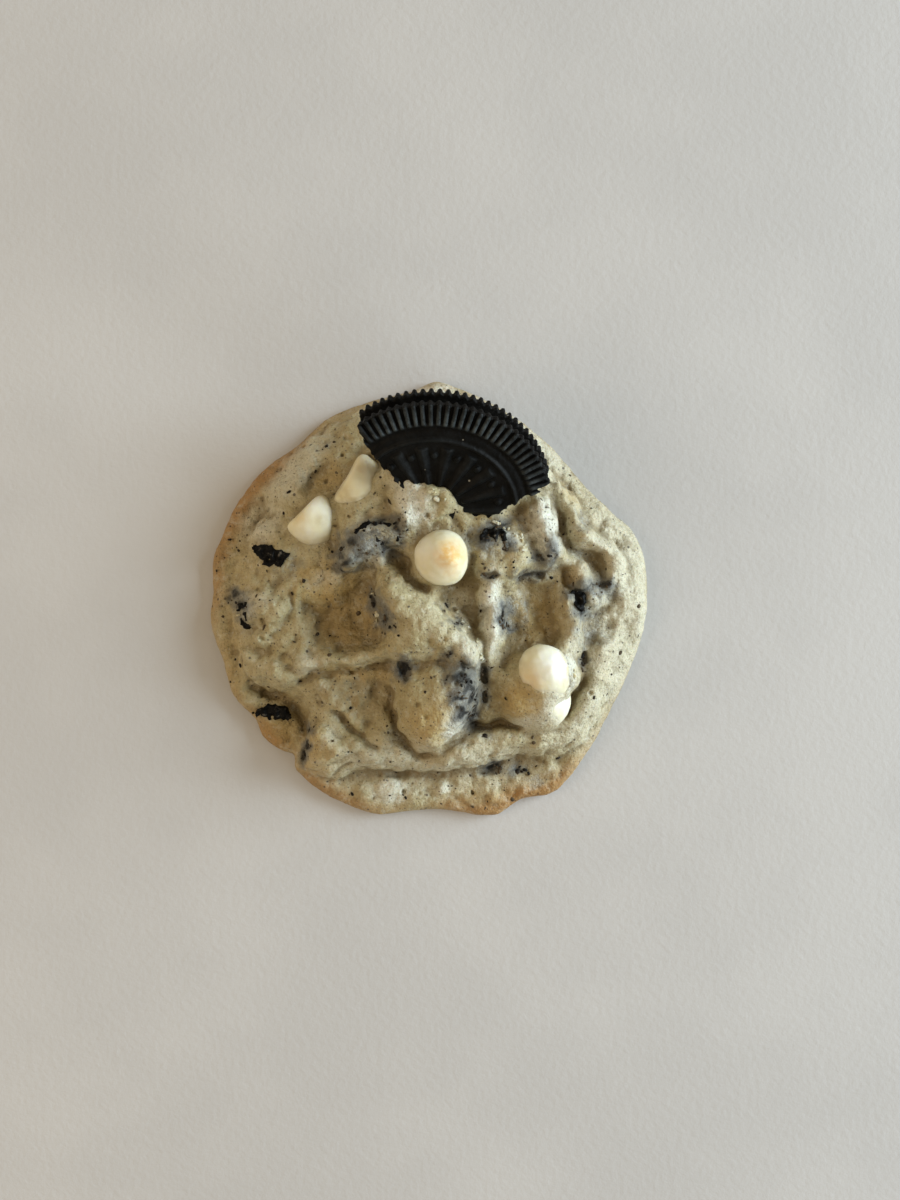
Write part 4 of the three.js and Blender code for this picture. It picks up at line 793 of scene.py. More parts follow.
def add_masks(piece, **masks):
    """Stores one number at each vertex under each name, for the material to read."""
    for name, values in masks.items():
        attribute = piece.data.attributes.new(name, "FLOAT", "POINT")
        attribute.data.foreach_set("value", np.asarray(values, dtype=np.float32))


def hand_over(piece, material, node=None):
    """Gives a piece its material, hangs it on the root body, and hides the CAD node that it replaces."""
    piece.data.materials.append(material)
    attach(piece, "root")
    if node:
        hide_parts(node)


def frame_shift():
    """How far the CAD part was moved to stand over the origin of its own box."""
    low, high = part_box("dough")
    turns = np.radians(np.arange(0, 360, 0.25))
    r = radius_at(OUTLINE, np.degrees(turns))
    x, y = r * np.cos(turns), r * np.sin(turns)
    own = np.array([(x.min() + x.max()) / 2, (y.min() + y.max()) / 2])
    cad = np.array([(low[0] + high[0]) / 2, (low[1] + high[1]) / 2]) / MM
    return np.array([*(cad - own), 0.0])


SHIFT = frame_shift()


# ---- materials

class Painter:
    """A new material, and short names for the few kinds of nodes that the materials share."""

    def __init__(self, name):
        self.material = bpy.data.materials.new(name)
        self.material.use_nodes = True
        self.nodes = self.material.node_tree.nodes
        self.links = self.material.node_tree.links
        self.place = self.nodes.new("ShaderNodeTexCoord").outputs["Object"]

    def connect(self, socket, value):
        """Links a socket to another one, or gives it a constant value."""
        if isinstance(value, bpy.types.NodeSocket):
            self.links.new(value, socket)
        elif socket.type == "RGBA":
            socket.default_value = (*value, 1)
        else:
            socket.default_value = value

    def node(self, kind, inputs, **settings):
        """A new node: inputs are links or values, by the name or number of their socket."""
        node = self.nodes.new("ShaderNode" + kind)
        for name, value in settings.items():
            setattr(node, name, value)
        for name, value in inputs.items():
            self.connect(node.inputs[name], value)
        return node

    def noise(self, scale, detail=3, roughness=0.55):
        """Cloudy noise from 0 to 1: scale is the number of clouds in a metre."""
        inputs = {"Vector": self.place, "Scale": scale, "Detail": detail, "Roughness": roughness}
        return self.node("TexNoise", inputs).outputs["Fac"]

    def mask(self, name):
        """The numbers that a piece stores under this name."""
        return self.node("Attribute", {}, attribute_name=name).outputs["Fac"]

    def steps(self, value, low, high, start=0.0, end=1.0):
        """A soft step from start to end, while the value goes from low to high."""
        inputs = {"Value": value, "From Min": low, "From Max": high, "To Min": start, "To Max": end}
        return self.node("MapRange", inputs, interpolation_type="SMOOTHSTEP").outputs["Result"]

    def math(self, operation, a, b):
        return self.node("Math", {0: a, 1: b}, operation=operation).outputs["Value"]

    def mix(self, factor, below, above):
        """One colour over another, each a link or (red, green, blue)."""
        return self.node("Mix", {0: factor, 6: below, 7: above}, data_type="RGBA").outputs[2]

    def patchy(self, name, noise, low, high, start, end=1.0):
        """A mask that is weaker in some patches of noise."""
        return self.math("MULTIPLY", self.mask(name), self.steps(noise, low, high, start, end))

    def ragged(self, name, noise):
        """A mask plus noise, which steps then cut along a ragged edge."""
        return self.math("ADD", self.mask(name), noise)

    def specks(self, scale, sizes, edge, strength):
        """Dots of random size: sizes are the steps from a random number to a dot's size."""
        cells = self.node("TexVoronoi", {"Vector": self.place, "Scale": scale})
        size = self.steps(cells.outputs["Color"], *sizes)
        beyond = self.math("SUBTRACT", cells.outputs["Distance"], size)
        return self.steps(beyond, *edge, strength, 0.0)

    def finish(self, values, bumps):
        """The material with its shader's inputs set, and bumps of (height link, distance in metres)."""
        shader = self.nodes["Principled BSDF"]
        for height, distance in bumps:
            inputs = {"Height": height, "Distance": distance}
            if "Normal" in values:
                inputs["Normal"] = values["Normal"]
            values["Normal"] = self.node("Bump", inputs).outputs["Normal"]
        for name, value in values.items():
            self.connect(shader.inputs[name], value)
        return self.material


def dough_material():
    """Dough, from the lowest coat up: clouds, baked colours with painted shade in hollows and creases and
    paler dough that is mostly painted light, mottle, grey smudges, dark spots and specks.
    """
    paint = Painter("baked_dough")
    cloud = paint.noise(140, 4)
    mottle = paint.noise(620, 5, 0.65)
    colour = paint.mix(paint.steps(cloud, 0.35, 0.65), *SHADES["dough"])
    for name, coat in DOUGH_COATS.items():
        colour = paint.mix(paint.mask(name), colour, coat)
    # Painted shade: the dough is darker in its creases.
    colour = paint.mix(paint.math("MULTIPLY", paint.mask("crease"), 0.55), colour, CREASE_SHADE)
    colour = paint.mix(paint.steps(mottle, 0.50, 0.74, 0.0, 0.45), colour, MOTTLE_BROWN)
    colour = paint.mix(paint.steps(mottle, 0.50, 0.28, 0.0, 0.40), colour, MOTTLE_CREAM)
    colour = paint.mix(paint.steps(paint.noise(2300, 4, 0.7), 0.45, 0.70, 0.0, 0.42), colour, GRAIN_BROWN)
    film = paint.patchy("smudge", paint.noise(420, 5, 0.7), 0.38, 0.60, 0.12)
    colour = paint.mix(film, colour, SMUDGE_GREY)
    frost = paint.patchy("smudge", paint.noise(360, 6, 0.75), 0.50, 0.60, 0.0, 0.75)
    colour = paint.mix(frost, colour, FROST_GREY)
    smear = paint.ragged("smudge", paint.noise(750, 6, 0.75))
    colour = paint.mix(paint.steps(smear, 1.30, 1.70, 0.0, 0.85), colour, SMEAR_BLACK)
    haze = paint.ragged("haze", paint.noise(500, 6, 0.75))
    colour = paint.mix(paint.steps(haze, 0.70, 1.40, 0.0, 0.80), colour, HAZE_GREY)
    dark = paint.steps(paint.ragged("dark", paint.noise(1100, 6, 0.8)), 0.80, 1.62)
    colour = paint.mix(dark, colour, DARK_BLACK)
    for scale, largest, strength in DOUGH_SPECKS:
        speck = paint.specks(scale, (0.2, 1.0, -0.06, largest), (-0.09, 0.04), strength)
        colour = paint.mix(speck, colour, SPECK_BROWN)
    values = {
        "Base Color": colour,
        "Roughness": paint.steps(mottle, 0.3, 0.7, 0.46, 0.66),
        "Specular IOR Level": paint.steps(dark, 0.0, 1.0, 0.5, 0.15),
        **glow_inside(0.12, (0.0018, 0.0011, 0.0005)),
    }
    fine = (paint.noise(1500, 3), 0.0003), (paint.noise(3200, 3), 0.00008)
    return paint.finish(values, [(cloud, 0.0003), (mottle, 0.0006), *fine])


def biscuit_material(name, dust):
    """Very dark biscuit, lighter grey on its raised parts from wear and a painted highlight: dust is how much
    pale crumb lies on it.
    """
    paint = Painter(name)
    colour = paint.mix(paint.steps(paint.noise(300, 4), 0.35, 0.7), *SHADES["biscuit"])
    # Partly wear and partly painted highlight: lighter grey on the raised parts, mostly on the ribs.
    worn_and_lit = paint.patchy("raised", paint.noise(800, 5, 0.7), 0.30, 0.62, 0.25)
    worn_and_lit = paint.math("MULTIPLY", worn_and_lit, paint.steps(paint.noise(170, 3), 0.36, 0.60, 0.30, 1.0))
    colour = paint.mix(worn_and_lit, colour, WORN_AND_LIT_GREY)
    fine = paint.noise(900, 5, 0.7)
    dusty = paint.steps(fine, 0.66 - 0.1 * dust, 0.80 - 0.1 * dust, 0.0, 0.5 * dust + 0.1)
    colour = paint.mix(dusty, colour, DUST)
    colour = paint.mix(paint.specks(600, (0.66, 0.80, -0.2, 0.12), (-0.04, 0.02), 0.7), colour, PALE_GRAIN)
    values = {"Base Color": colour, "Roughness": 0.48, "Specular IOR Level": 0.10}
    return paint.finish(values, [(paint.noise(900, 5, 0.65), 0.00022), (paint.noise(3000, 3), 0.00006)])


def chip_material():
    """Waxy white chips, with toasted and whiter spots and a smear of dough."""
    paint = Painter("white_chip")
    cloud = paint.noise(220, 3)
    colour = paint.mix(paint.steps(cloud, 0.35, 0.65), *SHADES["chip"])
    toast = paint.patchy("toast", paint.noise(700, 4), 0.30, 0.62, 0.45)
    colour = paint.mix(toast, colour, TOAST_BROWN)
    colour = paint.mix(paint.mask("bloom"), colour, BLOOM_WHITE)
    film = paint.patchy("doughy", paint.noise(600, 5, 0.7), 0.32, 0.62, 0.3)
    colour = paint.mix(film, colour, CHIP_DOUGH)
    values = {"Base Color": colour, "Roughness": 0.46, "Specular IOR Level": 0.3,
              **glow_inside(0.5, (0.0027, 0.0025, 0.0015))}
    return paint.finish(values, [(cloud, 0.0003), (paint.noise(1400, 3), 0.00003)])


def plain_material(name):
    """Two shades in soft clouds, and one fine bump, as listed under the material's name."""
    shades, clouds, steps, values, grain, distance = PLAIN[name]
    paint = Painter(name)
    colour = paint.mix(paint.steps(paint.noise(*clouds), *steps), *shades)
    return paint.finish({"Base Color": colour, **values}, [(paint.noise(*grain), distance)])


# ---- dough

def ellipse_share(x, y, cx, cy, half_length, half_width, turn):
    """0 in the middle of a turned ellipse, and 1 on its edge."""
    c, s = math.cos(math.radians(turn)), math.sin(math.radians(turn))
    along = ((x - cx) * c + (y - cy) * s) / half_length
    across = ((y - cy) * c - (x - cx) * s) / half_width
    return np.hypot(along, across)


def patches(x, y, table, softness):
    """The strongest of a table of soft elliptical patches at each place."""
    strongest = np.zeros(x.shape)
    for *place, strength in table:
        share = ellipse_share(x, y, *place)
        inside = 1 - smooth_between(1 - softness, 1 + softness, share)
        strongest = np.maximum(strongest, strength * inside)
    return strongest


def rim_browning(x, y, z):
    """How brown the thin rim is: most on the edge itself, and nothing up on the body."""
    degrees = angle_of(x, y)
    inward = radius_at(OUTLINE, degrees) - np.hypot(x, y)
    strength = np.clip(radius_at(RIM_BROWNING, degrees), 0, 1)
    reach = 1.4 + 4.2 * strength
    return strength * (1 - smooth_between(0.2, 1.0, inward / reach)) * (1 - smooth_between(4.5, 7.5, z))


def chunk_gap(x, y):
    """How far a place is from the nearest dark chunk."""
    return np.minimum.reduce([polygon_distance(x, y, outline) for *_, outline in CHUNKS])


def chip_gap(x, y, z):
    """How far a place is from the nearest chip."""
    points = np.stack([x, y, z], axis=-1)
    return np.minimum.reduce([chip_distance(points, *chip) for _, *chip in CHIPS])


def near_box(centre, reach, low, voxel):
    """The part of a grid within reach of a place."""
    first = [max(int((c - reach - edge) / voxel), 0) for c, edge in zip(centre, low)]
    last = [int((c + reach - edge) / voxel) for c, edge in zip(centre, low)]
    return tuple(slice(a, b) for a, b in zip(first, last))


def chips_field(points, low, voxel):
    """Where the dough would end if it followed the chips, each joined to its neighbour with a fillet."""
    field = np.full(points.shape[:-1], 9.0, dtype=np.float32)
    for name, radius, height, base, *lean in CHIPS:
        box = near_box(base, max(radius, height) + 2 * COLLAR, low, voxel)
        skin = chip_distance(points[box], radius, height, base, *lean) + CHIP_SINK[name]
        if name in FILMS:
            place, way = FILMS[name]
            edge = (points[box][..., :2] - place) @ np.array(way) + roughness(points[box], FILM_RAGGEDNESS)
            covered = 1 - smooth_between(-FILM_FADE, FILM_FADE, edge)
            skin -= (CHIP_SINK[name] + FILM_THICKNESS) * covered
        field[box] = smooth_union(field[box], skin, SEAM)
    return field


def body_field(height, outside, z, voxel):
    """The smooth body: below its height, inside its outline, and drawn in at its foot."""
    steep_x, steep_y = np.gradient(height, voxel)
    steepness = np.sqrt(1 + steep_x ** 2 + steep_y ** 2)
    over = (z[None, None, :] - height[..., None]) / steepness[..., None]
    undercut = UNDERSIDE_INSET * np.clip(1 - z / SKIRT_EDGE_HEIGHT, 0, 1) ** 2
    return np.maximum(over, outside[..., None] + undercut)


def dough_roughness(skin, open_dough):
    """Waves and cracks over all the skin, and low lumps on open dough."""
    rough = roughness(skin, DOUGH_ROUGHNESS)
    broken_up = np.clip(0.5 + 0.8 * waves(skin, *CRACKED_AREAS), 0, 1)
    for depth, width, size, seed in CRACKS:
        rough += depth * broken_up * np.exp(-(waves(skin, size, 30, seed) / width) ** 2)
    lumpy = np.clip(0.45 + 0.8 * waves(skin, *LUMPY_AREAS), 0, 1) * open_dough
    lumpy = lumpy * (1 - patches(skin[:, 0], skin[:, 1], SMOOTH, 0.4))
    for height, size, seed in LOW_LUMPS:
        rough -= height * lumpy * (np.sqrt(waves(skin, size, 30, seed) ** 2 + 0.01) - 0.45)
    return rough * (SHELTERED_ROUGHNESS + (1 - SHELTERED_ROUGHNESS) * open_dough)


def dig_pits(field, points, low, voxel):
    """Opens small round pits all over the dough."""
    rng = np.random.default_rng(4)
    for _ in range(PIT_COUNT):
        angle, r = rng.uniform(0, 2 * math.pi), PIT_REACH * math.sqrt(rng.uniform())
        px, py = r * math.cos(angle), r * math.sin(angle)
        radius = rng.uniform(*PIT_RADIUS)
        pit = (px, py, height_at(px, py) - PIT_SINK)
        middle = [int((c - edge) / voxel) for c, edge in zip(pit, low)]
        box = tuple(slice(max(k - 3, 0), k + 5) for k in middle)
        gap = radius - np.linalg.norm(points[box] - np.array(pit, dtype=np.float32), axis=-1)
        field[box] = np.maximum(field[box], gap)


def dough_field(low, high, voxel):
    """The dough, rough and pitted, with holes and with a collar round each chip."""
    points = grid_points(low, high, voxel)
    x, y = points[:, :, 0, 0].astype(float), points[:, :, 0, 1].astype(float)
    z = points[0, 0, :, 2].astype(float)
    height = dough_height(x, y)
    outside = np.hypot(x, y) - radius_at(OUTLINE, angle_of(x, y)) + 0.15
    field = body_field(height, outside, z, voxel)
    near = np.abs(field) < SKIN_BAND
    skin = points[near]
    inserts = np.minimum(chunk_gap(x, y), chip_gap(x, y, height))
    open_dough = smooth_between(0.0, 2.0, -outside) * smooth_between(-0.5, 1.5, inserts)
    open_dough = np.repeat(open_dough[..., None], len(z), axis=2)[near]
    field[near] += dough_roughness(skin, open_dough)
    for a, b, radius, sink in HOLES:
        ends = [(*end, height_at(*end) - sink) for end in (a, b)]
        field[near] = np.maximum(field[near], radius - segment_distance(skin, *ends))
    dig_pits(field, points, low, voxel)
    field = smooth_union(field, chips_field(points, low, voxel), COLLAR)
    return np.maximum(field, -z)


def top_of(field, floor, voxel):
    """Height of the uppermost skin in each column of a field."""
    inside = field < 0
    k = np.clip(field.shape[2] - 1 - np.argmax(inside[:, :, ::-1], axis=2), 0, field.shape[2] - 2)
    below = np.take_along_axis(field, k[..., None], axis=2)[..., 0]
    above = np.take_along_axis(field, k[..., None] + 1, axis=2)[..., 0]
    return np.where(inside.any(axis=2), floor + voxel * (k + below / (below - above)), 0)


def paint_dough(piece, surface, height, low):
    """Stores where the dough is golden, browned, smudged or dark, where hollows and creases take painted
    shade, and where it is paler, mostly as painted light.
    """
    x, y, z = surface.astype(float).T
    sunken, creased = (sample_map(blurred(height, sigma, DOUGH_VOXEL) - height, x, y, low, DOUGH_VOXEL)
                       for sigma in (HOLLOW_WIDTH, CREASE_WIDTH))
    shake = np.stack([waves(surface, *PATCH_WAVES, seed) for seed in PATCH_SEEDS], axis=1)
    moved = surface + PATCH_SHAKE * shake
    px, py = moved[:, 0].astype(float), moved[:, 1].astype(float)
    haze = [(*place, 1.7 * a + 0.6, 1.7 * b + 0.6, turn, 0.9 * strength)
            for *place, a, b, turn, strength in DARK]
    add_masks(
        piece,
        # Painted shade: darker in every hollow, and in listed shaded patches.
        hollow=np.maximum(0.6 * smooth_between(0.0, 2.0, sunken), patches(px, py, SHADED_HOLLOWS, 0.5)),
        golden=patches(px, py, GOLDEN, 0.6),
        # Mostly painted light: paler on lit slopes and crests, less so in hollows.
        pale=patches(px, py, PALE_AND_LIT, 0.5) * (0.5 + 0.5 * smooth_between(-0.9, 0.2, -sunken + 0.2)),
        # Where painted shade darkens the creases.
        crease=smooth_between(0.04, 0.45, creased),
        browned=np.clip(rim_browning(px, py, z), 0, 1),
        smudge=patches(px, py, SMUDGES, 0.6),
        dark=patches(px, py, DARK, 0.6),
        haze=patches(px, py, haze, 0.7),
    )


def make_dough():
    low, high = (-45.5, -45.5, -1.7), (46.5, 45.5, 21.8)
    field = dough_field(low, high, DOUGH_VOXEL)
    surface, quads = field_surface(field, low, DOUGH_VOXEL)
    piece = make_object("cookie_dough", surface + SHIFT, quads)
    paint_dough(piece, surface, top_of(field, low[2], DOUGH_VOXEL), low)
    hand_over(piece, dough_material(), "dough")


# ---- sandwich biscuit

def rim_slope(r):
    """0 on the flat middle of a wafer, rising to 1 at its rim."""
    return np.clip((r - RIB_START) / (WAFER_RADIUS - RIB_START), 0, 1)


def plain_face(r):
    return FACE_RISE * (1 - rim_slope(r))


def teeth(x, y):
    """1 between two teeth of the rim, and 0 on a tooth."""
    return 0.5 - 0.5 * np.cos(np.arctan2(y, x) * WAFER_TEETH)


def wafer_face(x, y):
    """Height of the patterned face: ribs round the rim, a plain ring, a burst of rays and a hub."""
    r = np.hypot(x, y)
    phase = np.mod(np.arctan2(y, x) * RAY_COUNT / (2 * math.pi), 1)
    from_ray = (np.abs(phase - 0.5) - 0.25) * 2 * math.pi * r / RAY_COUNT
    half_width = np.maximum(math.pi * r / RAY_COUNT / 2, 0.1)
    ray = np.sqrt(np.clip(from_ray / half_width, 0, 1)) * smooth_between(RAY_START - 0.2, RAY_START + 0.2, r)
    ray = ray * smooth_between(-RAY_END - 0.2, 0.2 - RAY_END, -r)
    hub = smooth_between(-HUB_RADIUS - 0.2, 0.2 - HUB_RADIUS, -r)
    ring = 1 - smooth_between(0.1, 0.6, np.abs(r - RING_RADIUS))
    from_pip = np.hypot(r - PIP_CIRCLE, np.abs(phase - 0.5) * 2 * math.pi * r / RAY_COUNT)
    pip = 1 - smooth_between(0.45, 0.75, from_pip)
    groove = smooth_between(0.30, 1.0, teeth(x, y))
    ribs = smooth_between(RIB_START, RIB_START + 1.0, r)
    moat = np.exp(-((r - RIB_START + 0.3) / MOAT_WIDTH) ** 2)
    raised = RELIEF * np.maximum.reduce([ray, hub, 0.8 * ring, 0.9 * pip])
    ribbed = (RIB_RISE * (1 - rim_slope(r)) - RIB_DEPTH * groove) * ribs
    return plain_face(r) + raised + ribbed - MOAT_DEPTH * moat


def wafer_surface(mirror):
    """A broken wafer in its own plane, with its face up; mirror turns the pattern for the back wafer."""
    low, high = (-15.0, -8.0, -WAFER_THICKNESS - 0.8), (25.0, 24.0, 1.6)
    points, x, y, z = slab_grid(low, high, WAFER_VOXEL)
    face = wafer_face(x, y * mirror)
    rim = np.hypot(x, y) - WAFER_RADIUS + TOOTH_DEPTH * teeth(x, y * mirror)
    broken = polygon_distance(x, y, WEDGE)
    field = np.maximum(z - face[..., None], -WAFER_THICKNESS - z)
    field = np.maximum(field, rim[..., None])
    near = np.abs(np.maximum(field, broken[..., None])) < 1.0
    rough = np.zeros(field.shape, dtype=np.float32)
    rough[near] = roughness(points[near], WAFER_ROUGHNESS)
    field = field + 0.12 * rough
    return field_surface(np.maximum(field, broken[..., None] + rough), low, WAFER_VOXEL)


def make_wafer(name, mirror, placement, material):
    surface, quads = wafer_surface(mirror)
    r = np.hypot(surface[:, 0], surface[:, 1])
    relief = surface[:, 2] - plain_face(r)
    on_ribs = smooth_between(RIB_START - 0.4, RIB_START + 0.4, r)
    if mirror < 0:
        surface = surface * np.array([1, 1, -1]) + np.array([0, 0, BACK_TOP - WAFER_THICKNESS])
        quads = quads[:, ::-1]
    piece = make_object("biscuit_" + name, transformed(surface, placement), quads)
    # Where the relief stands up, mostly on the ribs, for the lighter grey of wear and painted highlight.
    add_masks(piece, raised=smooth_between(-0.3, 0.5, relief) * (0.10 + 0.90 * on_ribs))
    hand_over(piece, material, name)


def make_cream(placement):
    low, high = (-14.0, -7.0, BACK_TOP - 0.6), (24.0, 22.0, 0.6 - WAFER_THICKNESS)
    points, x, y, z = slab_grid(low, high, CREAM_VOXEL)
    rough = roughness(points, CREAM_ROUGHNESS)
    front = -WAFER_THICKNESS - PIECE_GAP
    field = np.maximum(z - front, front - CREAM_THICKNESS - z)
    field = np.maximum(field, (np.hypot(x, y) - CREAM_RADIUS)[..., None] + rough)
    field = np.maximum(field, polygon_distance(x, y, WEDGE)[..., None] + CREAM_INSET + rough)
    surface, quads = field_surface(field, low, CREAM_VOXEL)
    piece = make_object("biscuit_cream", transformed(surface, placement), quads)
    hand_over(piece, plain_material("cream_filling"), "cream_filling")


def make_biscuit():
    place = Matrix.Translation(Vector(BISCUIT_CENTRE) + Vector(SHIFT))
    placement = place @ turned(-BISCUIT_TURN, "Z") @ turned(BISCUIT_LEAN, "X")
    material = biscuit_material("dark_biscuit", 0.0)
    make_wafer("wafer_front", 1, placement, material)
    make_wafer("wafer_back", -1, placement, material)
    make_cream(placement)


# ---- chips and chunks

def smooth_profile(profile, steps):
    """More points along a profile, on a smooth curve through the ones given."""
    table = np.array([profile[0], *profile, profile[-1]], dtype=float)
    out = []
    for i in range(1, len(table) - 2):
        p0, p1, p2, p3 = table[i - 1:i + 3]
        for t in np.arange(steps) / steps:
            out.append(0.5 * (2 * p1 + (p2 - p0) * t + (2 * p0 - 5 * p1 + 4 * p2 - p3) * t ** 2
                              + (3 * p1 - p0 - 3 * p2 + p3) * t ** 3))
    out.append(table[-1])
    return np.maximum(np.array(out), 0)


def chip_distance(points, radius, height, base, tilt, heading):
    """Distance to the skin of a chip, negative inside."""
    place = Matrix.Translation(Vector(base)) @ turned(heading, "Z") @ turned(tilt, "Y")
    local = transformed(points, place.inverted())
    profile = smooth_profile(CHIP_PROFILE, 6) * (radius, height)
    outline = [tuple(p) for p in profile] + [(-r, z) for r, z in profile[-2:0:-1]]
    step, margin = 0.1, 3.0
    sides = np.arange(0, radius + margin, step), np.arange(-margin, height + margin, step)
    table = polygon_distance(*np.meshgrid(*sides, indexing="ij"), outline)
    return sample_map(table, np.hypot(local[..., 0], local[..., 1]), local[..., 2], (0, -margin), step)


def spots(x, y, table):
    """The strongest of a table of round soft spots at each place."""
    strongest = np.zeros(x.shape)
    for cx, cy, radius, strength in table:
        share = np.hypot(x - cx, y - cy) / radius
        strongest = np.maximum(strongest, strength * (1 - smooth_between(0.2, 1.0, share)))
    return strongest


def make_chip(number, material):
    name, radius, height, base, *lean = CHIPS[number]
    reach = max(radius, height) + 1.0
    low = np.array(base) - reach
    points = grid_points(low, np.array(base) + reach, CHIP_VOXEL)
    field = chip_distance(points, radius, height, base, *lean)
    near = np.abs(field) < 1.0
    field[near] += roughness(points[near], [(0.22, 7.0, 16, number + 40), (0.04, 1.6, 16, number)])
    for _, *other in CHIPS[:number]:
        field = np.maximum(field, CHIP_GAP - chip_distance(points, *other))
    surface, quads = field_surface(field, low, CHIP_VOXEL)
    piece = make_object("piece_" + name, surface + SHIFT, quads)
    x, y, z = surface.astype(float).T
    by_dough = 0.8 * (1 - smooth_between(0.4, 2.2, z - dough_height(x, y)))
    tables = CHIP_TOAST, CHIP_BLOOM, CHIP_SMEARS
    toast, bloom, smears = (spots(x, y, table.get(name, [])) for table in tables)
    add_masks(piece, toast=toast, bloom=bloom, doughy=np.maximum(by_dough, smears))
    hand_over(piece, material, name)


def make_chunk(name, top, thickness, tilt, heading, outline, material):
    centre = np.mean(outline, axis=0)
    local = [(px - centre[0], py - centre[1]) for px, py in outline]
    reach = max(math.hypot(*p) for p in local) + 1
    low, high = (-reach, -reach, -thickness - 1), (reach, reach, 1)
    points, x, y, z = slab_grid(low, high, CHUNK_VOXEL)
    sides = polygon_distance(x, y, local)[..., None]
    rough = roughness(points, CHUNK_ROUGHNESS)
    field = np.maximum(np.maximum(z, -thickness - z), sides) + 0.2 + rough
    surface, quads = field_surface(field, low, CHUNK_VOXEL)
    place = (Matrix.Translation(Vector((centre[0], centre[1], top)) + Vector(SHIFT))
             @ turned(heading, "Z") @ turned(tilt, "Y") @ turned(-heading, "Z"))
    piece = make_object("piece_" + name, transformed(surface, place), quads)
    hand_over(piece, material, name)


# ---- crumbs and flakes

def icosahedron():
    """Corners and faces of a ball of 20 triangles."""
    g = (1 + math.sqrt(5)) / 2
    corners = [(-1, g, 0), (1, g, 0), (-1, -g, 0), (1, -g, 0), (0, -1, g), (0, 1, g),
               (0, -1, -g), (0, 1, -g), (g, 0, -1), (g, 0, 1), (-g, 0, -1), (-g, 0, 1)]
    faces = [(0, 11, 5), (0, 5, 1), (0, 1, 7), (0, 7, 10), (0, 10, 11), (1, 5, 9), (5, 11, 4),
             (11, 10, 2), (10, 7, 6), (7, 1, 8), (3, 9, 4), (3, 4, 2), (3, 2, 6), (3, 6, 8),
             (3, 8, 9), (4, 9, 5), (2, 4, 11), (6, 2, 10), (8, 6, 7), (9, 8, 1)]
    points = np.array(corners, dtype=float)
    return points / np.linalg.norm(points[0]), np.array(faces)


BALL, BALL_FACES = icosahedron()


def joined_balls(name, balls):
    """One object from many balls that have been squashed, turned and put in place."""
    faces = [BALL_FACES + len(BALL) * i for i in range(len(balls))]
    return make_object(name, np.concatenate(balls) + SHIFT, np.concatenate(faces))


def crumb_places(rng):
    """Rows of x, y and size: the crumbs in the list, fine ones all over, and some round each dark spot."""
    angle = rng.uniform(0, 2 * math.pi, FINE_CRUMBS)
    share = np.sqrt(rng.uniform(0, 0.97, FINE_CRUMBS))
    r = radius_at(OUTLINE, np.degrees(angle)) * share
    small = 0.08 + 0.30 * rng.uniform(0, 1, FINE_CRUMBS) ** 4
    rows = [np.array(CRUMBS) * (1, 1, CRUMB_SHARE)]
    rows.append(np.stack([r * np.cos(angle), r * np.sin(angle), small], 1))
    for cx, cy, length, width, *_ in DARK:
        count = int(rng.integers(*CRUMBS_BY_DARK))
        x = cx + length * rng.normal(0, 0.9, count)
        y = cy + width * rng.normal(0, 0.9, count)
        rows.append(np.stack([x, y, rng.uniform(0.15, 0.5, count)], 1))
    return np.concatenate(rows)


def make_crumbs():
    """Dark crumbs set into the skin of the dough."""
    rng = np.random.default_rng(8)
    x, y, sizes = crumb_places(rng).T
    places = np.stack([x, y, dough_height(x, y)], 1)
    grains = []
    for place, normal, size in zip(places, surface_normal(x, y), sizes):
        upright = Vector(normal).to_track_quat("Z", "Y").to_matrix().to_4x4()
        turn = upright @ Matrix.Rotation(rng.uniform(*ANY_TURN), 4, "Z")
        stretch = np.array([rng.uniform(0.8, 1.5), rng.uniform(0.6, 1.0), 0.45])
        shape = BALL * rng.uniform(0.75, 1.2, (12, 1)) * stretch * size
        grains.append(transformed(shape, turn) + place - normal * size * CRUMB_SINK)
    hand_over(joined_balls("dark_crumbs", grains), plain_material("dark_crumb"))


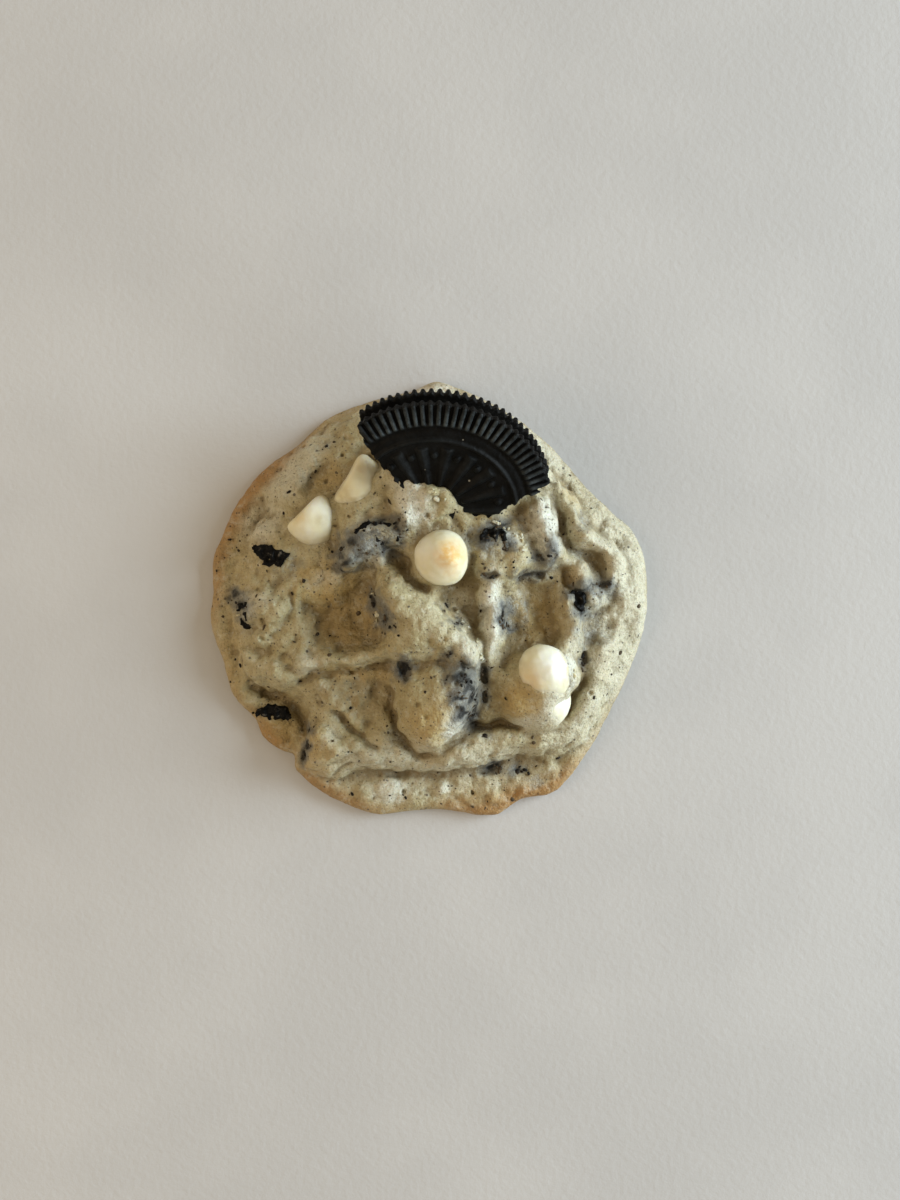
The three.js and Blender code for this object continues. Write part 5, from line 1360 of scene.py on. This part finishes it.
def make_flakes():
    """Thin torn flakes that stand on the lips of the dough."""
    rng = np.random.default_rng(12)
    flakes = []
    for line in [line for count, line in TORN_EDGES for _ in range(count)]:
        i = rng.integers(len(line) - 1)
        t = rng.uniform()
        x, y = np.array(line[i]) * (1 - t) + np.array(line[i + 1]) * t + rng.normal(0, 0.25, 2)
        size = rng.uniform(0.35, 0.95)
        shape = BALL * rng.uniform(0.6, 1.25, (12, 1)) * (size, size * rng.uniform(0.35, 0.7), 0.14)
        turn = Matrix.Rotation(rng.uniform(*ANY_TURN), 4, "Z")
        turn = turn @ Matrix.Rotation(rng.uniform(0.2, 1.3), 4, "Y")
        flakes.append(transformed(shape, turn) + np.array([x, y, height_at(x, y) + 0.1]))
    hand_over(joined_balls("dough_flakes", flakes), plain_material("dough_flake"))


# ---- stage

def make_stage():
    bpy.ops.mesh.primitive_plane_add(size=3, location=(0, 0, 0))
    floor = bpy.context.object
    floor.name = "pale_floor"
    floor.data.materials.append(plain_material("pale_floor"))
    world = bpy.data.worlds.new("soft_room")
    world.use_nodes = True
    background = world.node_tree.nodes["Background"]
    background.inputs["Color"].default_value = ROOM_COLOUR
    background.inputs["Strength"].default_value = ROOM_STRENGTH
    bpy.context.scene.world = world


def add_area_light(name, place, size, power, colour):
    light = bpy.data.lights.new(name, "AREA")
    light.size = size
    light.energy = power
    light.color = colour
    lamp = bpy.data.objects.new(name, light)
    lamp.location = place
    lamp.rotation_euler = (-Vector(place)).to_track_quat("-Z", "Y").to_euler()
    bpy.context.collection.objects.link(lamp)


def make_camera():
    camera_data = bpy.data.cameras.new("camera")
    camera_data.lens = CAMERA_LENS
    camera_data.sensor_width = CAMERA_SENSOR
    camera = bpy.data.objects.new("camera", camera_data)
    camera.location = (np.array(CAMERA_PLACE) + SHIFT) * MM
    bpy.context.collection.objects.link(camera)
    bpy.context.scene.camera = camera
    bpy.context.scene.view_settings.view_transform = "Standard"


# ---- build

def main():
    make_camera()
    make_stage()
    for light in LIGHTS:
        add_area_light(*light)
    make_dough()
    make_biscuit()
    chip_finish = chip_material()
    for number in range(len(CHIPS)):
        make_chip(number, chip_finish)
    chunk_finish = biscuit_material("dark_chunk", 1.0)
    for chunk in CHUNKS:
        make_chunk(*chunk, chunk_finish)
    make_crumbs()
    make_flakes()


main()
